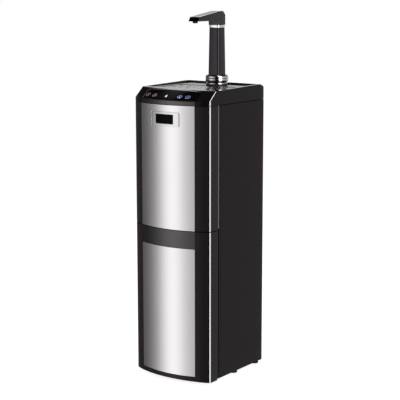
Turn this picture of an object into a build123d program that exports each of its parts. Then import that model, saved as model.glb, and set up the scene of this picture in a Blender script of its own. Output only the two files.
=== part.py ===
from build123d import *
import os
from math import atan2, cos, degrees, radians, sin, sqrt

# Bottom load water cooler with a swivelling tower spout.
# Millimetres, +Z up, front towards -Y, origin on the floor under the middle of the overall box.

# Cabinet
cabinet_width = 334.0
side_depth = 330.0  # from the rear edge to the sharp front corner
front_bow = 47.0  # how far the curved front stands ahead of its corners
corner_radius = 12.0
floor_gap = 9.0
foot_radius = 15.0
deck_height = 1050.0  # top of the rim at the rear
crown_height = 55.0
crown_band_height = 15.0  # upright foot of the crown, below the slanted fascia
door_bottom = 5.0
split_height = 553.5  # top of the door
door_seam = 2.5
panel_seam = 1.0
wrap_depth = 43.0  # how far the front mouldings wrap round the sides
door_side_gap = 4.5
toe_arch = 4.0
sheet = 1.2
moulding_wall = 4.0
fit_gap = 0.3
side_fold = 12.0
pan_fold = 20.0
shelf_fold = 14.0
rib_depth = 7.0
rib_thickness = 2.5
toe_corner = 15.0

# Front inserts
insert_half_width = 117.0
steel_thickness = 1.6
steel_proud = 0.6
glue_gap = 0.1
steel_bottom = 26.0
band_bottom = 491.0
band_thickness = 1.8
band_sunk = 0.7
band_seam = 0.3
badge_left = -53.0
badge_right = 63.0
badge_bottom = 920.0
badge_top = 971.0
badge_thickness = 2.2
badge_corner = 4.0
window_width = 75.0
window_height = 33.0
window_proud = 0.4
bar_width = 3.0
bar_gap = 2.5

# Crown and deck
crown_wall = 4.0
fascia_setback = 44.0
fascia_bow = 8.0
deck_fall = 5.5  # the rim is this much lower at the front than at the rear
rear_round = 18.0
rim_width = 11.0
rear_rim_width = 12.5
deck_level = 1042.0
deck_thickness = 3.5
panel_drop = 3.4  # depth of the control panel's seat, measured straight down
panel_front = 4.0  # how far the control panel starts behind the edge of the fascia
panel_back = 14.0
tab_thickness = 4.0
tab_length = 40.0
tab_drop = 20.0
tab_places = (-40.0, 90.0)
carrier_studs = (-80.0, 64.0)

# Buttons
button_radius = 10.0
button_flange = 1.4
button_flange_thickness = 1.2
button_travel = 1.2
button_proud = 0.5
button_places = {"heat_button": -97.0, "hot_button": -63.0, "room_button": 49.0, "cold_button": 80.0}
button_level = 0.3  # share of the way up the fascia
carrier_pad = 9.0
carrier_width = 12.0
carrier_thickness = 1.6
dome_radius = 3.5
lens_place = -8.0
lens_radius = 5.0

# Drip tray and grille
tray_width = 250.0
tray_setback = 56.0  # from the sharp front corner back to the tray
tray_rear_space = 107.0
tray_lip = 6.0
tray_depth = 24.0
tray_wall = 2.0
tray_lip_thickness = 1.5
grille_thickness = 3.3
grille_pitch = 27.0
grille_hole = 7.5
grille_small_hole = 4.0

# Tower
tower_setback = 59.5  # from the rear edge forward to the tower's axis
gasket_height = 3.0
gasket_radius = 41.0
base_ring_radius = 39.5
base_ring_height = 8.5
collar_radius = 42.0
collar_height = 26.0
shank_radius = 15.0
shank_reach = 34.0  # below the deck
nut_radius = 21.0
nut_height = 10.0
washer_radius = 25.0
nut_washer = 3.0
tower_tube_radius = 3.0
tower_tube_place = 3.2
stem_radius = 10.95
stem_clearance = 0.05
stem_bore = 7.0
swivel_gap = 0.3
column_foot = 51.0
column_head = 46.0
column_height = 171.0
column_bore = 30.0
column_bow = 1.4
column_corner = 5.0
ring_height = 9.0
ring_proud = 0.8
head_neck = 16.0
head_height = 50.5
arm_reach = 146.0
arm_tip_height = 16.0
arm_tip_rake = 10.0
arm_half_width = 22.5
nozzle_reach = 133.0
nozzle_radius = 9.3
nozzle_height = 6.5
nozzle_bore = 5.5

# Bottle bay and door
bay_side_space = 21.0
bay_rear_space = 38.0
bottle_guide = 4.0
bay_floor_top = 28.0
mouth_lip = 3.0  # how far the frame stands in from the lining
mouth_bottom = 36.0
mouth_drop = 10.0  # from the shelf down to the mouth
frame_depth = 10.0
shelf_drop = 1.5  # from the top of the door down to the shelf
liner_wall = 2.0
hinge_inset = 8.0
pin_radius = 2.5
pin_clearance = 0.05
hinge_plate = 3.0
hinge_half_width = 8.0
door_floor = 14.0
door_end_wall = 3.0
door_boss_radius = 7.0
door_boss_length = 13.0
door_pocket_depth = 34.0
pocket_corner = 4.0
flange_seat = 13.0
catch_inset = 5.8  # from the edge of the mouth to the middle of the catch
catch_width = 8.0
catch_height = 40.0
catch_depth = 5.0
strike_sunk = 1.2
gasket_width = 8.0

# Works
compressor_side_space = 85.0  # from the outside of the cabinet to the compressor's axis
compressor_setback = 112.0  # from the front edge of the side panels
compressor_radius = 52.0
compressor_height = 118.0
compressor_foot_half = 45.0
compressor_foot = 3.0
compressor_neck = 30.0
grommet_height = 8.0
grommet_radius = 8.0
grommet_place = 35.0
cold_tank_side_space = 95.0
cold_tank_setback = 122.0
cold_tank_radius = 62.0
cold_tank_height = 190.0
jacket_wall = 22.0
jacket_legs = 141.0
leg_width = 16.0
leg_place = 50.0
tank_neck = 9.0
hot_tank_side_space = 75.0
hot_tank_setback = 152.0
hot_tank_radius = 50.0
hot_tank_height = 150.0
hot_tank_lift = 238.0
pump_half_width = 24.0
pump_height = 86.0
probe_inset = 25.0  # from the corner of the bay to the parked probe
probe_radius = 6.0
probe_bore = 3.0
probe_cap_radius = 23.0
control_box_half_width = 60.0
control_box_depth = 40.0
control_box_height = 88.0
control_box_setback = 14.0

# Rear
rear_recess = 24.3
tube_radius = 2.4
tube_bend = 9.0
tube_entry = 12.0  # how far the condenser's ends reach in through the rear panel
condenser_runs = 9  # an odd number, so that the two ends rise on opposite sides
condenser_pitch = 54.0
condenser_side_space = 21.0  # from the outside of the cabinet to the rising tubes
riser_gap = 9.0
condenser_bottom = 90.0
riser_lift = 140.0
wire = 1.5
wires_each_side = 21
wire_pitch = 12.0
vent_rows = 7
vent_pitch = 12.0
vent_width = 70.0
vent_height = 5.0
upper_vents = (-100.0, 0.0, 100.0)
upper_vent_drop = 30.0
lower_vents = (-50.0, 30.0)
lower_vent_rise = 50.0
switch_side_space = 41.0  # from the outside of the cabinet to the switch hole
switch_width = 56.0
switch_height = 26.0
screw_inset = 17.0
screw_radius = 4.0
screw_head = 2.4
low_screw_lift = 71.0
middle_screw_drop = 263.0
top_screw_drop = 40.0
switch_lift = 270.0
inlet_side_space = 47.0
inlet_rise = 54.0  # above the condenser's top run
drain_side_space = 75.0
drain_lift = 130.0
drain_radius = 10.0

# Worked out from the sizes above
half_width = cabinet_width / 2
overall_depth = side_depth + front_bow + steel_proud + badge_thickness + window_proud
rear_y = overall_depth / 2
corner_y = rear_y - side_depth
apex_y = corner_y - front_bow
bow_radius = (half_width**2 + front_bow**2) / (2 * front_bow)
bow_centre_y = apex_y + bow_radius
wrap_y = corner_y + wrap_depth
side_front_y = wrap_y + door_side_gap
crown_bottom = deck_height - crown_height
side_top = crown_bottom - panel_seam
fascia_bottom = crown_bottom + crown_band_height
upper_bottom = split_height + door_seam
frame_back_y = side_front_y + frame_depth
pan_top = floor_gap + 1.5
rear_panel_y = rear_y - rear_recess
tower_y = rear_y - tower_setback
tray_front = corner_y + tray_setback
tray_back = rear_y - tray_rear_space
bay_back = rear_y - bay_rear_space
bay_half_width = half_width - bay_side_space
mouth_half_width = bay_half_width - mouth_lip
frame_half_width = half_width - 12.3
shelf_level = split_height - shelf_drop
mouth_top = shelf_level - mouth_drop
works_floor = shelf_level + 1.5
probe_x = bay_half_width - probe_inset
probe_y = bay_back - probe_inset
probe_top = shelf_level - 22
compressor_x = half_width - compressor_side_space
compressor_y = side_front_y + compressor_setback
compressor_low = works_floor + grommet_height
stub_x = compressor_x - 30
stub_z = compressor_low + 70
cold_tank_x = -half_width + cold_tank_side_space
cold_tank_y = side_front_y + cold_tank_setback
cold_tank_low = works_floor + jacket_legs + jacket_wall
hot_tank_x = half_width - hot_tank_side_space
hot_tank_y = side_front_y + hot_tank_setback
hot_tank_low = shelf_level + hot_tank_lift
condenser_y = rear_y - 12.5
condenser_top = condenser_bottom + condenser_pitch * (condenser_runs - 1)
riser_x = half_width - condenser_side_space
riser_top = shelf_level + riser_lift
inlet_z = condenser_top + inlet_rise
inlet_x = -half_width + inlet_side_space
drain_x = half_width - drain_side_space
switch_right = half_width - switch_side_space
switch_left = switch_right - switch_width
switch_bottom = shelf_level + switch_lift
switch_top = switch_bottom + switch_height
rocker_y = rear_panel_y + sheet - 3
rocker_z = (switch_bottom + switch_top) / 2
rocker_places = (switch_left + 14, switch_right - 14)
board_depth = panel_drop + button_flange_thickness + button_travel + 6.0
badge_middle = (badge_bottom + badge_top) / 2
drain_z = shelf_level + drain_lift
window_x = (badge_left + badge_right) / 2 - 2.5
hinge_x = -half_width + hinge_inset
hinge_y = wrap_y - hinge_inset
tray_half_width = tray_width / 2
lip_top = deck_level - 0.5 - grille_thickness
ledge_level = lip_top - tray_lip_thickness
collar_bottom = deck_level + gasket_height + base_ring_height + swivel_gap
column_bottom = collar_bottom + collar_height
ring_bottom = column_bottom + column_height
head_bottom = ring_bottom + ring_height
head_top = head_bottom + head_height
arm_bottom = head_bottom + head_neck
gasket_back_y = side_front_y - fit_gap
liner_flange_y = wrap_y - 0.5
side_fold_spans = ((40.0, mouth_top - 20), (upper_bottom + 20, side_top - 12))
rib_levels = (upper_bottom + 90, upper_bottom + 210, side_top - 90)
screw_levels = (floor_gap + low_screw_lift, split_height - middle_screw_drop, side_top - top_screw_drop)
shank_end = deck_level - shank_reach
on_foot = (Align.CENTER, Align.CENTER, Align.MIN)


def block(x0, x1, y0, y1, z0, z1):
    return Pos(x0, y0, z0) * Box(x1 - x0, y1 - y0, z1 - z0, align=(Align.MIN,) * 3)


def side_by_side(side, inner, outer):
    """Left and right end of a strip between two distances from the middle, on one side."""
    return (inner, outer) if side > 0 else (-outer, -inner)


def post(x, y, radius, z0, z1):
    return Pos(x, y, z0) * Cylinder(radius, z1 - z0, align=on_foot)


def pipe_y(x, z, radius, y0, y1):
    """Round bar along Y."""
    return Pos(x, y0, z) * Rot(-90, 0, 0) * Cylinder(radius, y1 - y0, align=on_foot)


def prism(face, z0, z1):
    return Pos(0, 0, z0) * extrude(face, amount=z1 - z0, dir=(0, 0, 1))


def bow_y(x, inset=0.0):
    return bow_centre_y - sqrt((bow_radius - inset) ** 2 - x**2)


def bowed_outline(half, back_y, inset=0.0, radius=0.0):
    """Plan outline with the bowed front, straight sides and a straight back."""
    left = (-half, bow_y(half, inset))
    right = (half, bow_y(half, inset))
    front = ThreePointArc(left, (0, bow_y(0, inset)), right)
    back = Polyline(right, (half, back_y), (-half, back_y), left)
    face = make_face(front + back)
    if radius:
        face = fillet([v for v in face.vertices() if v.Y < back_y - 1], radius)
    return face


def bowed_strip(half, outer, inner):
    """Plan of a curved plate between two depths behind the bowed front."""
    front = ThreePointArc((-half, bow_y(half, outer)), (0, bow_y(0, outer)), (half, bow_y(half, outer)))
    back = ThreePointArc((half, bow_y(half, inner)), (0, bow_y(0, inner)), (-half, bow_y(half, inner)))
    return make_face(front + Line(front @ 1, back @ 0) + back + Line(back @ 1, front @ 0))


def front_shell(bottom, top, back_y):
    """C-shaped front moulding that wraps round both sides."""
    outer = bowed_outline(half_width, back_y, 0, corner_radius)
    wall = moulding_wall
    inner = bowed_outline(half_width - wall, back_y + 1, wall, corner_radius - wall)
    return prism(outer, bottom, top) - prism(inner, bottom - 1, top + 1)


def insert_seat(bottom, top, depth):
    return prism(bowed_strip(insert_half_width + fit_gap, -5, depth), bottom, top)


# ---- cabinet -------------------------------------------------------------------------------


def base_pan():
    half = half_width - sheet - fit_gap
    back = rear_y - 2.5
    pan = block(-half, half, side_front_y, back, floor_gap, pan_top)
    for side in (-1, 1):
        left, right = side_by_side(side, half - sheet, half)
        pan += block(left, right, frame_back_y + 10, back, pan_top, pan_top + pan_fold)
    pan += block(-half, half, back - sheet, back, pan_top, pan_top + pan_fold)
    for x in (-80, 0, 80):
        pan += block(x - 6, x + 6, frame_back_y + 20, bay_back + 10, floor_gap - 2.5, floor_gap)
    return pan


def levelling_feet():
    feet = []
    edge = half_width - foot_radius - 1
    middle_y = (side_front_y + rear_y) / 2 - 24
    places = [(edge - 31, side_front_y + 24), (edge, middle_y), (edge, rear_y - 26)]
    for x, y in places:
        for side in (-1, 1):
            foot = post(side * x, y, foot_radius, 0, 4) + post(side * x, y, foot_radius - 4, 4, floor_gap)
            feet.append(foot)
    return Compound(children=feet)


def side_panel():
    """Right-hand sheet side with folded returns."""
    skin = block(half_width - sheet, half_width, side_front_y, rear_y, floor_gap, side_top)
    left = half_width - side_fold
    for low, high in side_fold_spans:
        skin += block(left, half_width, side_front_y, side_front_y + sheet, low, high)
        skin += block(left, half_width, rear_y - sheet, rear_y, low, high)
    return skin


def rear_panel():
    half = half_width - sheet - fit_gap
    low = pan_top + 22
    web = block(-half, half, rear_panel_y, rear_panel_y + sheet, low, side_top)
    for side in (-1, 1):
        left, right = side_by_side(side, half - sheet, half)
        web += block(left, right, rear_panel_y, rear_y - 2 * sheet - side_fold, low, side_top)
    for row in range(vent_rows):
        for x in upper_vents:
            web -= vent_slot(x, side_top - upper_vent_drop - vent_pitch * row)
        for x in lower_vents:
            web -= vent_slot(x, shelf_level + lower_vent_rise + vent_pitch * row)
    stand_off = rear_panel_y + sheet
    wire_front = condenser_y - tube_radius - wire
    reach = (wires_each_side - 1) * wire_pitch / 2
    for z in (condenser_bottom + condenser_pitch / 2, condenser_top - condenser_pitch / 2):
        for x in (-reach, reach):
            web += block(x - 5, x + 5, stand_off, wire_front, z - 8, z + 8)
    web -= pipe_y(riser_x, riser_top, tube_radius + 1, rear_panel_y - 1, rear_panel_y + 3)
    web -= pipe_y(-riser_x, riser_top, tube_radius + 1, rear_panel_y - 1, rear_panel_y + 3)
    web -= pipe_y(inlet_x, inlet_z, 9, rear_panel_y - 1, rear_panel_y + 3)
    web -= block(switch_left, switch_right, rear_panel_y - 1, rear_panel_y + 3, switch_bottom, switch_top)
    return web


def vent_slot(x, z):
    half = vent_width / 2
    return block(x - half, x + half, rear_panel_y - 1, rear_panel_y + 3, z, z + vent_height)


def mid_shelf():
    half = half_width - sheet - fit_gap
    shelf = block(-half, half, side_front_y + sheet + fit_gap, rear_panel_y, shelf_level, shelf_level + 1.5)
    for side in (-1, 1):
        left, right = side_by_side(side, half - sheet, half)
        fold_top = shelf_level + shelf_fold
        shelf += block(left, right, frame_back_y, rear_panel_y, shelf_level, fold_top)
    shelf -= post(probe_x, probe_y, 8, shelf_level - 1, shelf_level + 3)
    return shelf


def bay_frame():
    """Front frame round the mouth of the bottle bay."""
    half = frame_half_width
    ring = block(-half, half, side_front_y, frame_back_y, pan_top, shelf_level)
    through = (side_front_y - 1, frame_back_y + 1)
    ring -= block(-mouth_half_width, mouth_half_width, *through, mouth_bottom, mouth_top)
    notch = hinge_x + hinge_half_width + fit_gap
    ring -= block(-half_width, notch, *through, pan_top - 1, pan_top + hinge_plate)
    ring -= block(-half_width, notch, *through, shelf_level - hinge_plate, shelf_level + 1)
    ring -= magnet_box(fit_gap / 3)
    return ring


def bay_liner():
    """Moulded lining of the bottle bay: two sides, back and ceiling, open to the front."""
    half = bay_half_width
    wall = liner_wall
    low, top = bay_floor_top, shelf_level - 3
    outer = block(-half - wall, half + wall, frame_back_y, bay_back + wall, low, top)
    inner = block(-half, half, frame_back_y - 1, bay_back, low - 1, top - wall)
    liner = outer - inner
    x, y = probe_x, probe_y
    liner -= post(x, y, 8, top - 5, top + 1)
    for z in (150, 330):
        clip = block(x - 11, x + 11, y + 4, bay_back, z, z + 16)
        clip -= post(x, y, probe_radius + fit_gap, z - 1, z + 17)
        liner += clip
    return liner


def bay_floor():
    half = bay_half_width + liner_wall
    back = bay_back + liner_wall
    tray = block(-half, half, frame_back_y, back, pan_top, bay_floor_top)
    tray -= block(-half + 3, half - 3, frame_back_y + 3, back - 3, pan_top - 1, bay_floor_top - 3)
    for x in (-90, -30, 30, 90):
        tray += block(x - 1.25, x + 1.25, frame_back_y + 3, back - 3, pan_top, bay_floor_top - 3)
    for side in (-1, 1):
        left = bay_half_width - 2 * bottle_guide
        guide = block(left, left + bottle_guide, -40, 100, bay_floor_top, bay_floor_top + 12)
        guide = chamfer(guide.edges().filter_by(Axis.Z), 1.5)
        tray += guide if side > 0 else mirror(guide, Plane.YZ)
    return tray


def hinge_bracket(z0, pin_up):
    """Flat bracket that reaches forward from the cabinet, with its hinge pin."""
    left = hinge_x - hinge_half_width / 2 - 1
    right = hinge_x + hinge_half_width
    plate = block(left, right, hinge_y, side_front_y + 50, z0, z0 + hinge_plate)
    plate += post(hinge_x, hinge_y, hinge_half_width / 2 + 1, z0, z0 + hinge_plate)
    reach = door_boss_length + door_end_wall - 1
    if pin_up:
        plate += post(hinge_x, hinge_y, pin_radius, z0, z0 + hinge_plate + reach)
    else:
        plate += post(hinge_x, hinge_y, pin_radius, z0 - reach, z0 + hinge_plate)
    return plate


def magnet_box(gap):
    x = mouth_half_width + catch_inset
    z = (mouth_bottom + mouth_top) / 2
    half, reach = catch_width / 2 + gap, catch_height / 2 + gap
    back = side_front_y + catch_depth + gap
    return block(x - half, x + half, side_front_y - 1, back, z - reach, z + reach)


def magnet_catch():
    box = magnet_box(0)
    return box & block(0, half_width, side_front_y, side_front_y + 20, 0, deck_height)


def upper_front_panel():
    back = side_front_y - panel_seam
    shell = front_shell(upper_bottom, side_top, back)
    shell -= insert_seat(upper_bottom - 1, side_top + 1, steel_thickness - steel_proud + glue_gap)
    wall = moulding_wall
    for side in (-1, 1):
        left, right = side_by_side(side, frame_half_width - 6, half_width - wall / 2)
        shell += block(left, right, back - 3, side_front_y, upper_bottom + 20, side_top - 12)
    web = bowed_strip(half_width - wall - 1, wall - 0.5, wall + rib_depth)
    for z in rib_levels:
        shell += prism(web, z, z + rib_thickness)
    floor = bowed_outline(half_width - wall / 2, side_front_y - 0.5, wall - 1, corner_radius - 2)
    return shell + prism(floor, upper_bottom + 1, upper_bottom + 3)


def steel_plate(bottom, top):
    return prism(bowed_strip(insert_half_width, -steel_proud, steel_thickness - steel_proud), bottom, top)


def badge_plate():
    """Raised plate on the upper steel panel, with an upright bar beside it and a sunk window."""
    top = -steel_proud
    strip = prism(bowed_strip(half_width - 20, top - badge_thickness, top), badge_bottom, badge_top)
    width = badge_right - badge_left
    height = badge_top - badge_bottom
    middle_x = (badge_left + badge_right) / 2
    outline = RectangleRounded(width, height, badge_corner)
    plate = strip & cut_through_y(outline, middle_x, badge_middle)
    hole = RectangleRounded(window_width + 2 * glue_gap, window_height + 2 * glue_gap, badge_corner)
    plate -= cut_through_y(hole, window_x, badge_middle)
    bar_right = badge_left - bar_gap
    bar = strip & block(bar_right - bar_width, bar_right, apex_y - 10, 0, badge_bottom + 1, badge_top + 1)
    return Compound(children=[*plate.solids(), *bar.solids()])


def cut_through_y(outline, x, z):
    """Upright outline carried straight back through the front."""
    plane = Plane(origin=(x, apex_y - 20, z), x_dir=(1, 0, 0), z_dir=(0, -1, 0))
    return extrude(plane * outline, amount=80, dir=(0, 1, 0))


def badge_window():
    top = -steel_proud
    front = top - badge_thickness - window_proud
    strip = prism(bowed_strip(half_width - 20, front, top), badge_bottom, badge_top)
    outline = RectangleRounded(window_width, window_height, badge_corner - glue_gap)
    return strip & cut_through_y(outline, window_x, badge_middle)


# ---- crown ---------------------------------------------------------------------------------


def crown_upper_outline():
    front_y = corner_y + fascia_setback
    front = ThreePointArc((-half_width, front_y), (0, front_y - fascia_bow), (half_width, front_y))
    half = half_width
    back = Polyline((half, front_y), (half, rear_y), (-half, rear_y), (-half, front_y))
    face = make_face(front + back)
    return fillet([v for v in face.vertices() if v.Y < 0], corner_radius)


def crown_outer():
    """Whole outer form of the crown, without its hollow and its deck."""
    lower = bowed_outline(half_width, rear_y, 0, corner_radius)
    foot = prism(lower, crown_bottom, fascia_bottom)
    ends = [Pos(0, 0, fascia_bottom) * lower, Pos(0, 0, deck_height) * crown_upper_outline()]
    body = foot + loft(ends, ruled=True)
    front_y = corner_y + fascia_setback - fascia_bow
    fall = atan2(deck_fall, rear_y - rear_round - front_y)
    wedge = Box(cabinet_width + 40, side_depth * 3, 60, align=(Align.CENTER, Align.MAX, Align.MIN))
    body -= Pos(0, rear_y - rear_round, deck_height) * Rot(degrees(fall), 0, 0) * wedge
    half = half_width + 5
    y, z = rear_y - rear_round, deck_height - rear_round
    corner = block(-half, half, y, rear_y + 5, z, deck_height + 5)
    barrel = Pos(0, y, z) * Rot(0, 90, 0) * Cylinder(rear_round, cabinet_width + 20)
    return body - (corner - barrel)


def fascia_point(x, share):
    """Point on the slanted fascia, and the outward direction there."""
    chord = half_width
    upper_radius = (chord**2 + fascia_bow**2) / (2 * fascia_bow)
    low_y = bow_y(x)
    high_y = corner_y + fascia_setback - fascia_bow + upper_radius - sqrt(upper_radius**2 - x**2)
    y = low_y + (high_y - low_y) * share
    z = fascia_bottom + (deck_height - fascia_bottom) * share
    rise = deck_height - fascia_bottom
    run = high_y - low_y
    lean = (1 - share) * x / sqrt(bow_radius**2 - x**2) + share * x / sqrt(upper_radius**2 - x**2)
    normal = Vector(lean * rise, -rise, run).normalized()
    return Vector(x, y, z), normal


def fascia_stud(x, radius, outside, inside):
    """Round plug square to the fascia, from a height outside it to a depth inside it."""
    point, normal = fascia_point(x, button_level)
    start = point - normal * inside
    plane = Plane(origin=start, z_dir=normal)
    return plane * Cylinder(radius, inside + outside, align=on_foot)


def panel_area(gap):
    half = insert_half_width + gap
    start = panel_front - gap
    front = bow_y(half) + start
    low = ThreePointArc((-half, front), (0, bow_y(0) + start), (half, front))
    back_y = corner_y + fascia_setback - fascia_bow - panel_back + gap
    back = Polyline((half, front), (half, back_y), (-half, back_y), (-half, front))
    return prism(make_face(low + back), crown_bottom - 20, deck_height + 20)


def control_panel(outer):
    layer = (outer - Pos(0, 0, -panel_drop + 0.2) * outer) & panel_area(0)
    panel = max(layer.solids(), key=lambda s: s.volume)
    for x in button_places.values():
        panel -= fascia_stud(x, button_radius + fit_gap, 10, 20)
    panel -= fascia_stud(lens_place, lens_radius + glue_gap, 10, 20)
    return panel


def crown_cavity(outer):
    half = half_width - crown_wall
    outline = bowed_outline(half, rear_y - crown_wall, crown_wall + 1, corner_radius - crown_wall)
    room = prism(outline, crown_bottom - 1, deck_level - deck_thickness)
    below = block(-half, half, apex_y, rear_y, crown_bottom - 60, crown_bottom)
    return room & (Pos(0, 0, -2 * panel_drop) * outer + below)


def top_cover(outer):
    """Crown with slanted fascia, sunk deck, tray opening and tower hole."""
    crown = outer - crown_cavity(outer)
    pocket_front = corner_y + fascia_setback + rim_width
    pocket = RectangleRounded(cabinet_width - 2 * rim_width, rear_y - rear_rim_width - pocket_front, 8)
    middle = (pocket_front + rear_y - rear_rim_width) / 2
    crown -= prism(Pos(0, middle) * pocket, deck_level, deck_height + 5)
    collar = tray_area(tray_lip + 5, ledge_level - 3, deck_level - deck_thickness)
    crown += collar
    crown -= tray_area(fit_gap, ledge_level, deck_level + 1)
    crown -= tray_area(-tray_lip + fit_gap, ledge_level - 10, deck_level + 1)
    crown -= post(0, tower_y, shank_radius + fit_gap, deck_level - 20, deck_level + 5)
    seat_depth = band_sunk + band_thickness + glue_gap
    crown -= insert_seat(crown_bottom - 1, fascia_bottom, seat_depth)
    backing = bowed_strip(insert_half_width + 2, seat_depth, crown_wall + 2)
    crown += prism(backing, crown_bottom, fascia_bottom - 1)
    tab_edge = half_width - sheet - fit_gap
    for side in (-1, 1):
        left, right = side_by_side(side, tab_edge - tab_thickness, tab_edge)
        for y in tab_places:
            crown += block(left, right, y, y + tab_length, crown_bottom - tab_drop, crown_bottom + 6)
    for x in carrier_studs:
        crown += fascia_stud(x, 3, -panel_drop - 1.5, board_depth - fit_gap)
    layer = (outer - Pos(0, 0, -panel_drop) * outer) & panel_area(fit_gap)
    crown -= max(layer.solids(), key=lambda s: s.volume)
    for x in button_places.values():
        crown -= fascia_stud(x, button_radius + button_flange + 2 * fit_gap, 2, 16)
    crown -= fascia_stud(lens_place, lens_radius + 1, 2, 16)
    return crown


def tray_area(grow, z0, z1):
    half = tray_half_width + grow
    return block(-half, half, tray_front - grow, tray_back + grow, z0, z1)


def crown_band():
    return prism(band_plan(), crown_bottom, fascia_bottom - band_seam)


def band_plan():
    return bowed_strip(insert_half_width, band_sunk, band_sunk + band_thickness)


def push_button(x):
    """Round key: a cap through the panel with a wider flange behind it."""
    back = panel_drop
    cap = fascia_stud(x, button_radius, button_proud, back + button_flange_thickness)
    flange = fascia_stud(x, button_radius + button_flange, -back, back + button_flange_thickness)
    return cap + flange


def control_board():
    """Curved key carrier under the fascia, with one switch dome below each button."""
    parts = []
    deep = board_depth
    for x in [*button_places.values(), lens_place]:
        pad = fascia_stud(x, carrier_pad, -deep, deep + carrier_thickness)
        reach = deep - panel_drop - button_flange_thickness - button_travel - fit_gap
        if x != lens_place:
            pad += fascia_stud(x, dome_radius, -(deep - reach), deep)
        parts.append(pad)
    ordered = sorted([*button_places.values(), lens_place])
    board = parts[0]
    for pad in parts[1:]:
        board += pad
    for a, b in zip(ordered, ordered[1:]):
        start, n0 = fascia_point(a, button_level)
        end, n1 = fascia_point(b, button_level)
        p = start - n0 * (deep + carrier_thickness / 2)
        q = end - n1 * (deep + carrier_thickness / 2)
        along = (q - p).normalized()
        length = (q - p).length
        plane = Plane(origin=p, x_dir=along, z_dir=n0)
        strip = Box(length, carrier_width, carrier_thickness, align=(Align.MIN, Align.CENTER, Align.CENTER))
        board += plane * strip
    return board


def status_lens():
    return fascia_stud(lens_place, lens_radius, 0.3, panel_drop - 0.4)


def drip_tray():
    lip = tray_area(-fit_gap, ledge_level, lip_top)
    basin = tray_area(-tray_lip - fit_gap, lip_top - tray_depth, lip_top)
    hollow = tray_area(-tray_lip - fit_gap - tray_wall, lip_top - tray_depth + tray_wall, lip_top + 1)
    tray = lip + fillet(basin.edges().filter_by(Axis.Z), 6)
    return tray - fillet(hollow.edges().filter_by(Axis.Z), 4)


def drip_grille():
    """Flat lid over the tray, pierced with round holes of two sizes in a staggered pattern."""
    grow = -2 * fit_gap
    plate = tray_area(grow, lip_top, lip_top + grille_thickness)
    middle = (tray_front + tray_back) / 2
    span = tray_back - tray_front - 2 * tray_lip - 14
    rows = int(span // (grille_pitch * sqrt(3) / 2)) + 1
    columns = int((tray_width - 2 * tray_lip - 14) // grille_pitch) + 1
    holes = []
    for row in range(rows):
        shift = grille_pitch / 2 if row % 2 else 0
        for column in range(columns - row % 2):
            x = (column - (columns - 1) / 2) * grille_pitch + shift
            y = middle + (row - (rows - 1) / 2) * grille_pitch * sqrt(3) / 2
            radius = grille_small_hole if (row + 2 * column) % 3 == 0 else grille_hole
            holes.append(post(x, y, radius, lip_top - 1, lip_top + grille_thickness + 1))
    return plate - holes


# ---- tower ---------------------------------------------------------------------------------


def tower_gasket():
    disc = post(0, tower_y, gasket_radius, deck_level, deck_level + gasket_height)
    return disc - post(0, tower_y, shank_radius + fit_gap, deck_level - 1, deck_level + 10)


def tower_base_ring():
    """Fixed lower tier of the swivel, with the threaded shank that passes through the deck."""
    low = deck_level + gasket_height
    ring = post(0, tower_y, base_ring_radius, low, low + base_ring_height)
    ring = fillet(ring.edges().sort_by(Axis.Z)[-1:], 2)
    ring += post(0, tower_y, shank_radius, shank_end, low)
    return ring - post(0, tower_y, stem_radius + stem_clearance, shank_end - 6, low + 20)


def tower_locknut():
    top = deck_level - deck_thickness
    middle = top - nut_washer
    hexagon = Pos(0, tower_y) * RegularPolygon(nut_radius, 6)
    nut = post(0, tower_y, washer_radius, middle, top) + prism(hexagon, middle - nut_height, middle)
    return nut - post(0, tower_y, shank_radius, top - 20, top + 1)


def tower_collar():
    """Turning upper tier with its stem, held below the shank by a clip."""
    barrel = post(0, tower_y, collar_radius, collar_bottom, column_bottom)
    edges = barrel.edges().filter_by(GeomType.CIRCLE)
    barrel = fillet(edges, 5)
    stem = post(0, tower_y, stem_radius, shank_end - 5, collar_bottom + 8)
    clip = post(0, tower_y, shank_radius, shank_end - 3 - fit_gap, shank_end - fit_gap)
    return barrel + stem + clip - post(0, tower_y, stem_bore, shank_end - 10, column_bottom + 1)


def column_outline(size):
    half = size / 2
    side = half - column_bow
    corners = [(-side, -side), (side, -side), (side, side), (-side, side)]
    middles = [(0, -half), (half, 0), (0, half), (-half, 0)]
    edges = [ThreePointArc(corners[i], middles[i], corners[(i + 1) % 4]) for i in range(4)]
    face = make_face(edges)
    return fillet(face.vertices(), column_corner)


def tower_column():
    foot = Pos(0, tower_y, column_bottom) * column_outline(column_foot)
    head = Pos(0, tower_y, ring_bottom) * column_outline(column_head)
    body = loft([foot, head], ruled=True)
    room = Box(column_bore, column_bore, column_height + 2, align=on_foot)
    room = fillet(room.edges().filter_by(Axis.Z), 4)
    return body - Pos(0, tower_y, column_bottom - 1) * room


def column_ring():
    outline = column_outline(column_head + 2 * ring_proud)
    ring = prism(Pos(0, tower_y) * outline, ring_bottom, head_bottom)
    return ring - post(0, tower_y, 15, ring_bottom - 1, head_bottom + 1)


def arm_profile():
    """Side view of the spout head, as distances behind the tower's axis and heights."""
    back = column_head / 2
    points = [
        (back, head_bottom),
        (back, head_top - 13),
        (back - 13, head_top),
        (-8, head_top),
        (-arm_reach + arm_tip_rake, arm_bottom + arm_tip_height),
        (-arm_reach, arm_bottom),
        (-back, arm_bottom),
        (-back, head_bottom),
    ]
    return points


def spout_head():
    points = [(tower_y + y, z) for y, z in arm_profile()]
    face = make_face(Plane.YZ * Polyline(*points, close=True))
    solid = extrude(face, amount=arm_half_width, both=True)
    outline = prism(Pos(0, tower_y) * column_outline(column_head), head_bottom - 1, head_top + 1)
    neck = solid & outline
    front = solid & block(-60, 60, tower_y - arm_reach - 5, tower_y, arm_bottom, head_top + 1)
    arm = neck + front
    arm -= pipe_down(nozzle_bore, arm_bottom - 1, arm_bottom + 8)
    return arm


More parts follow.
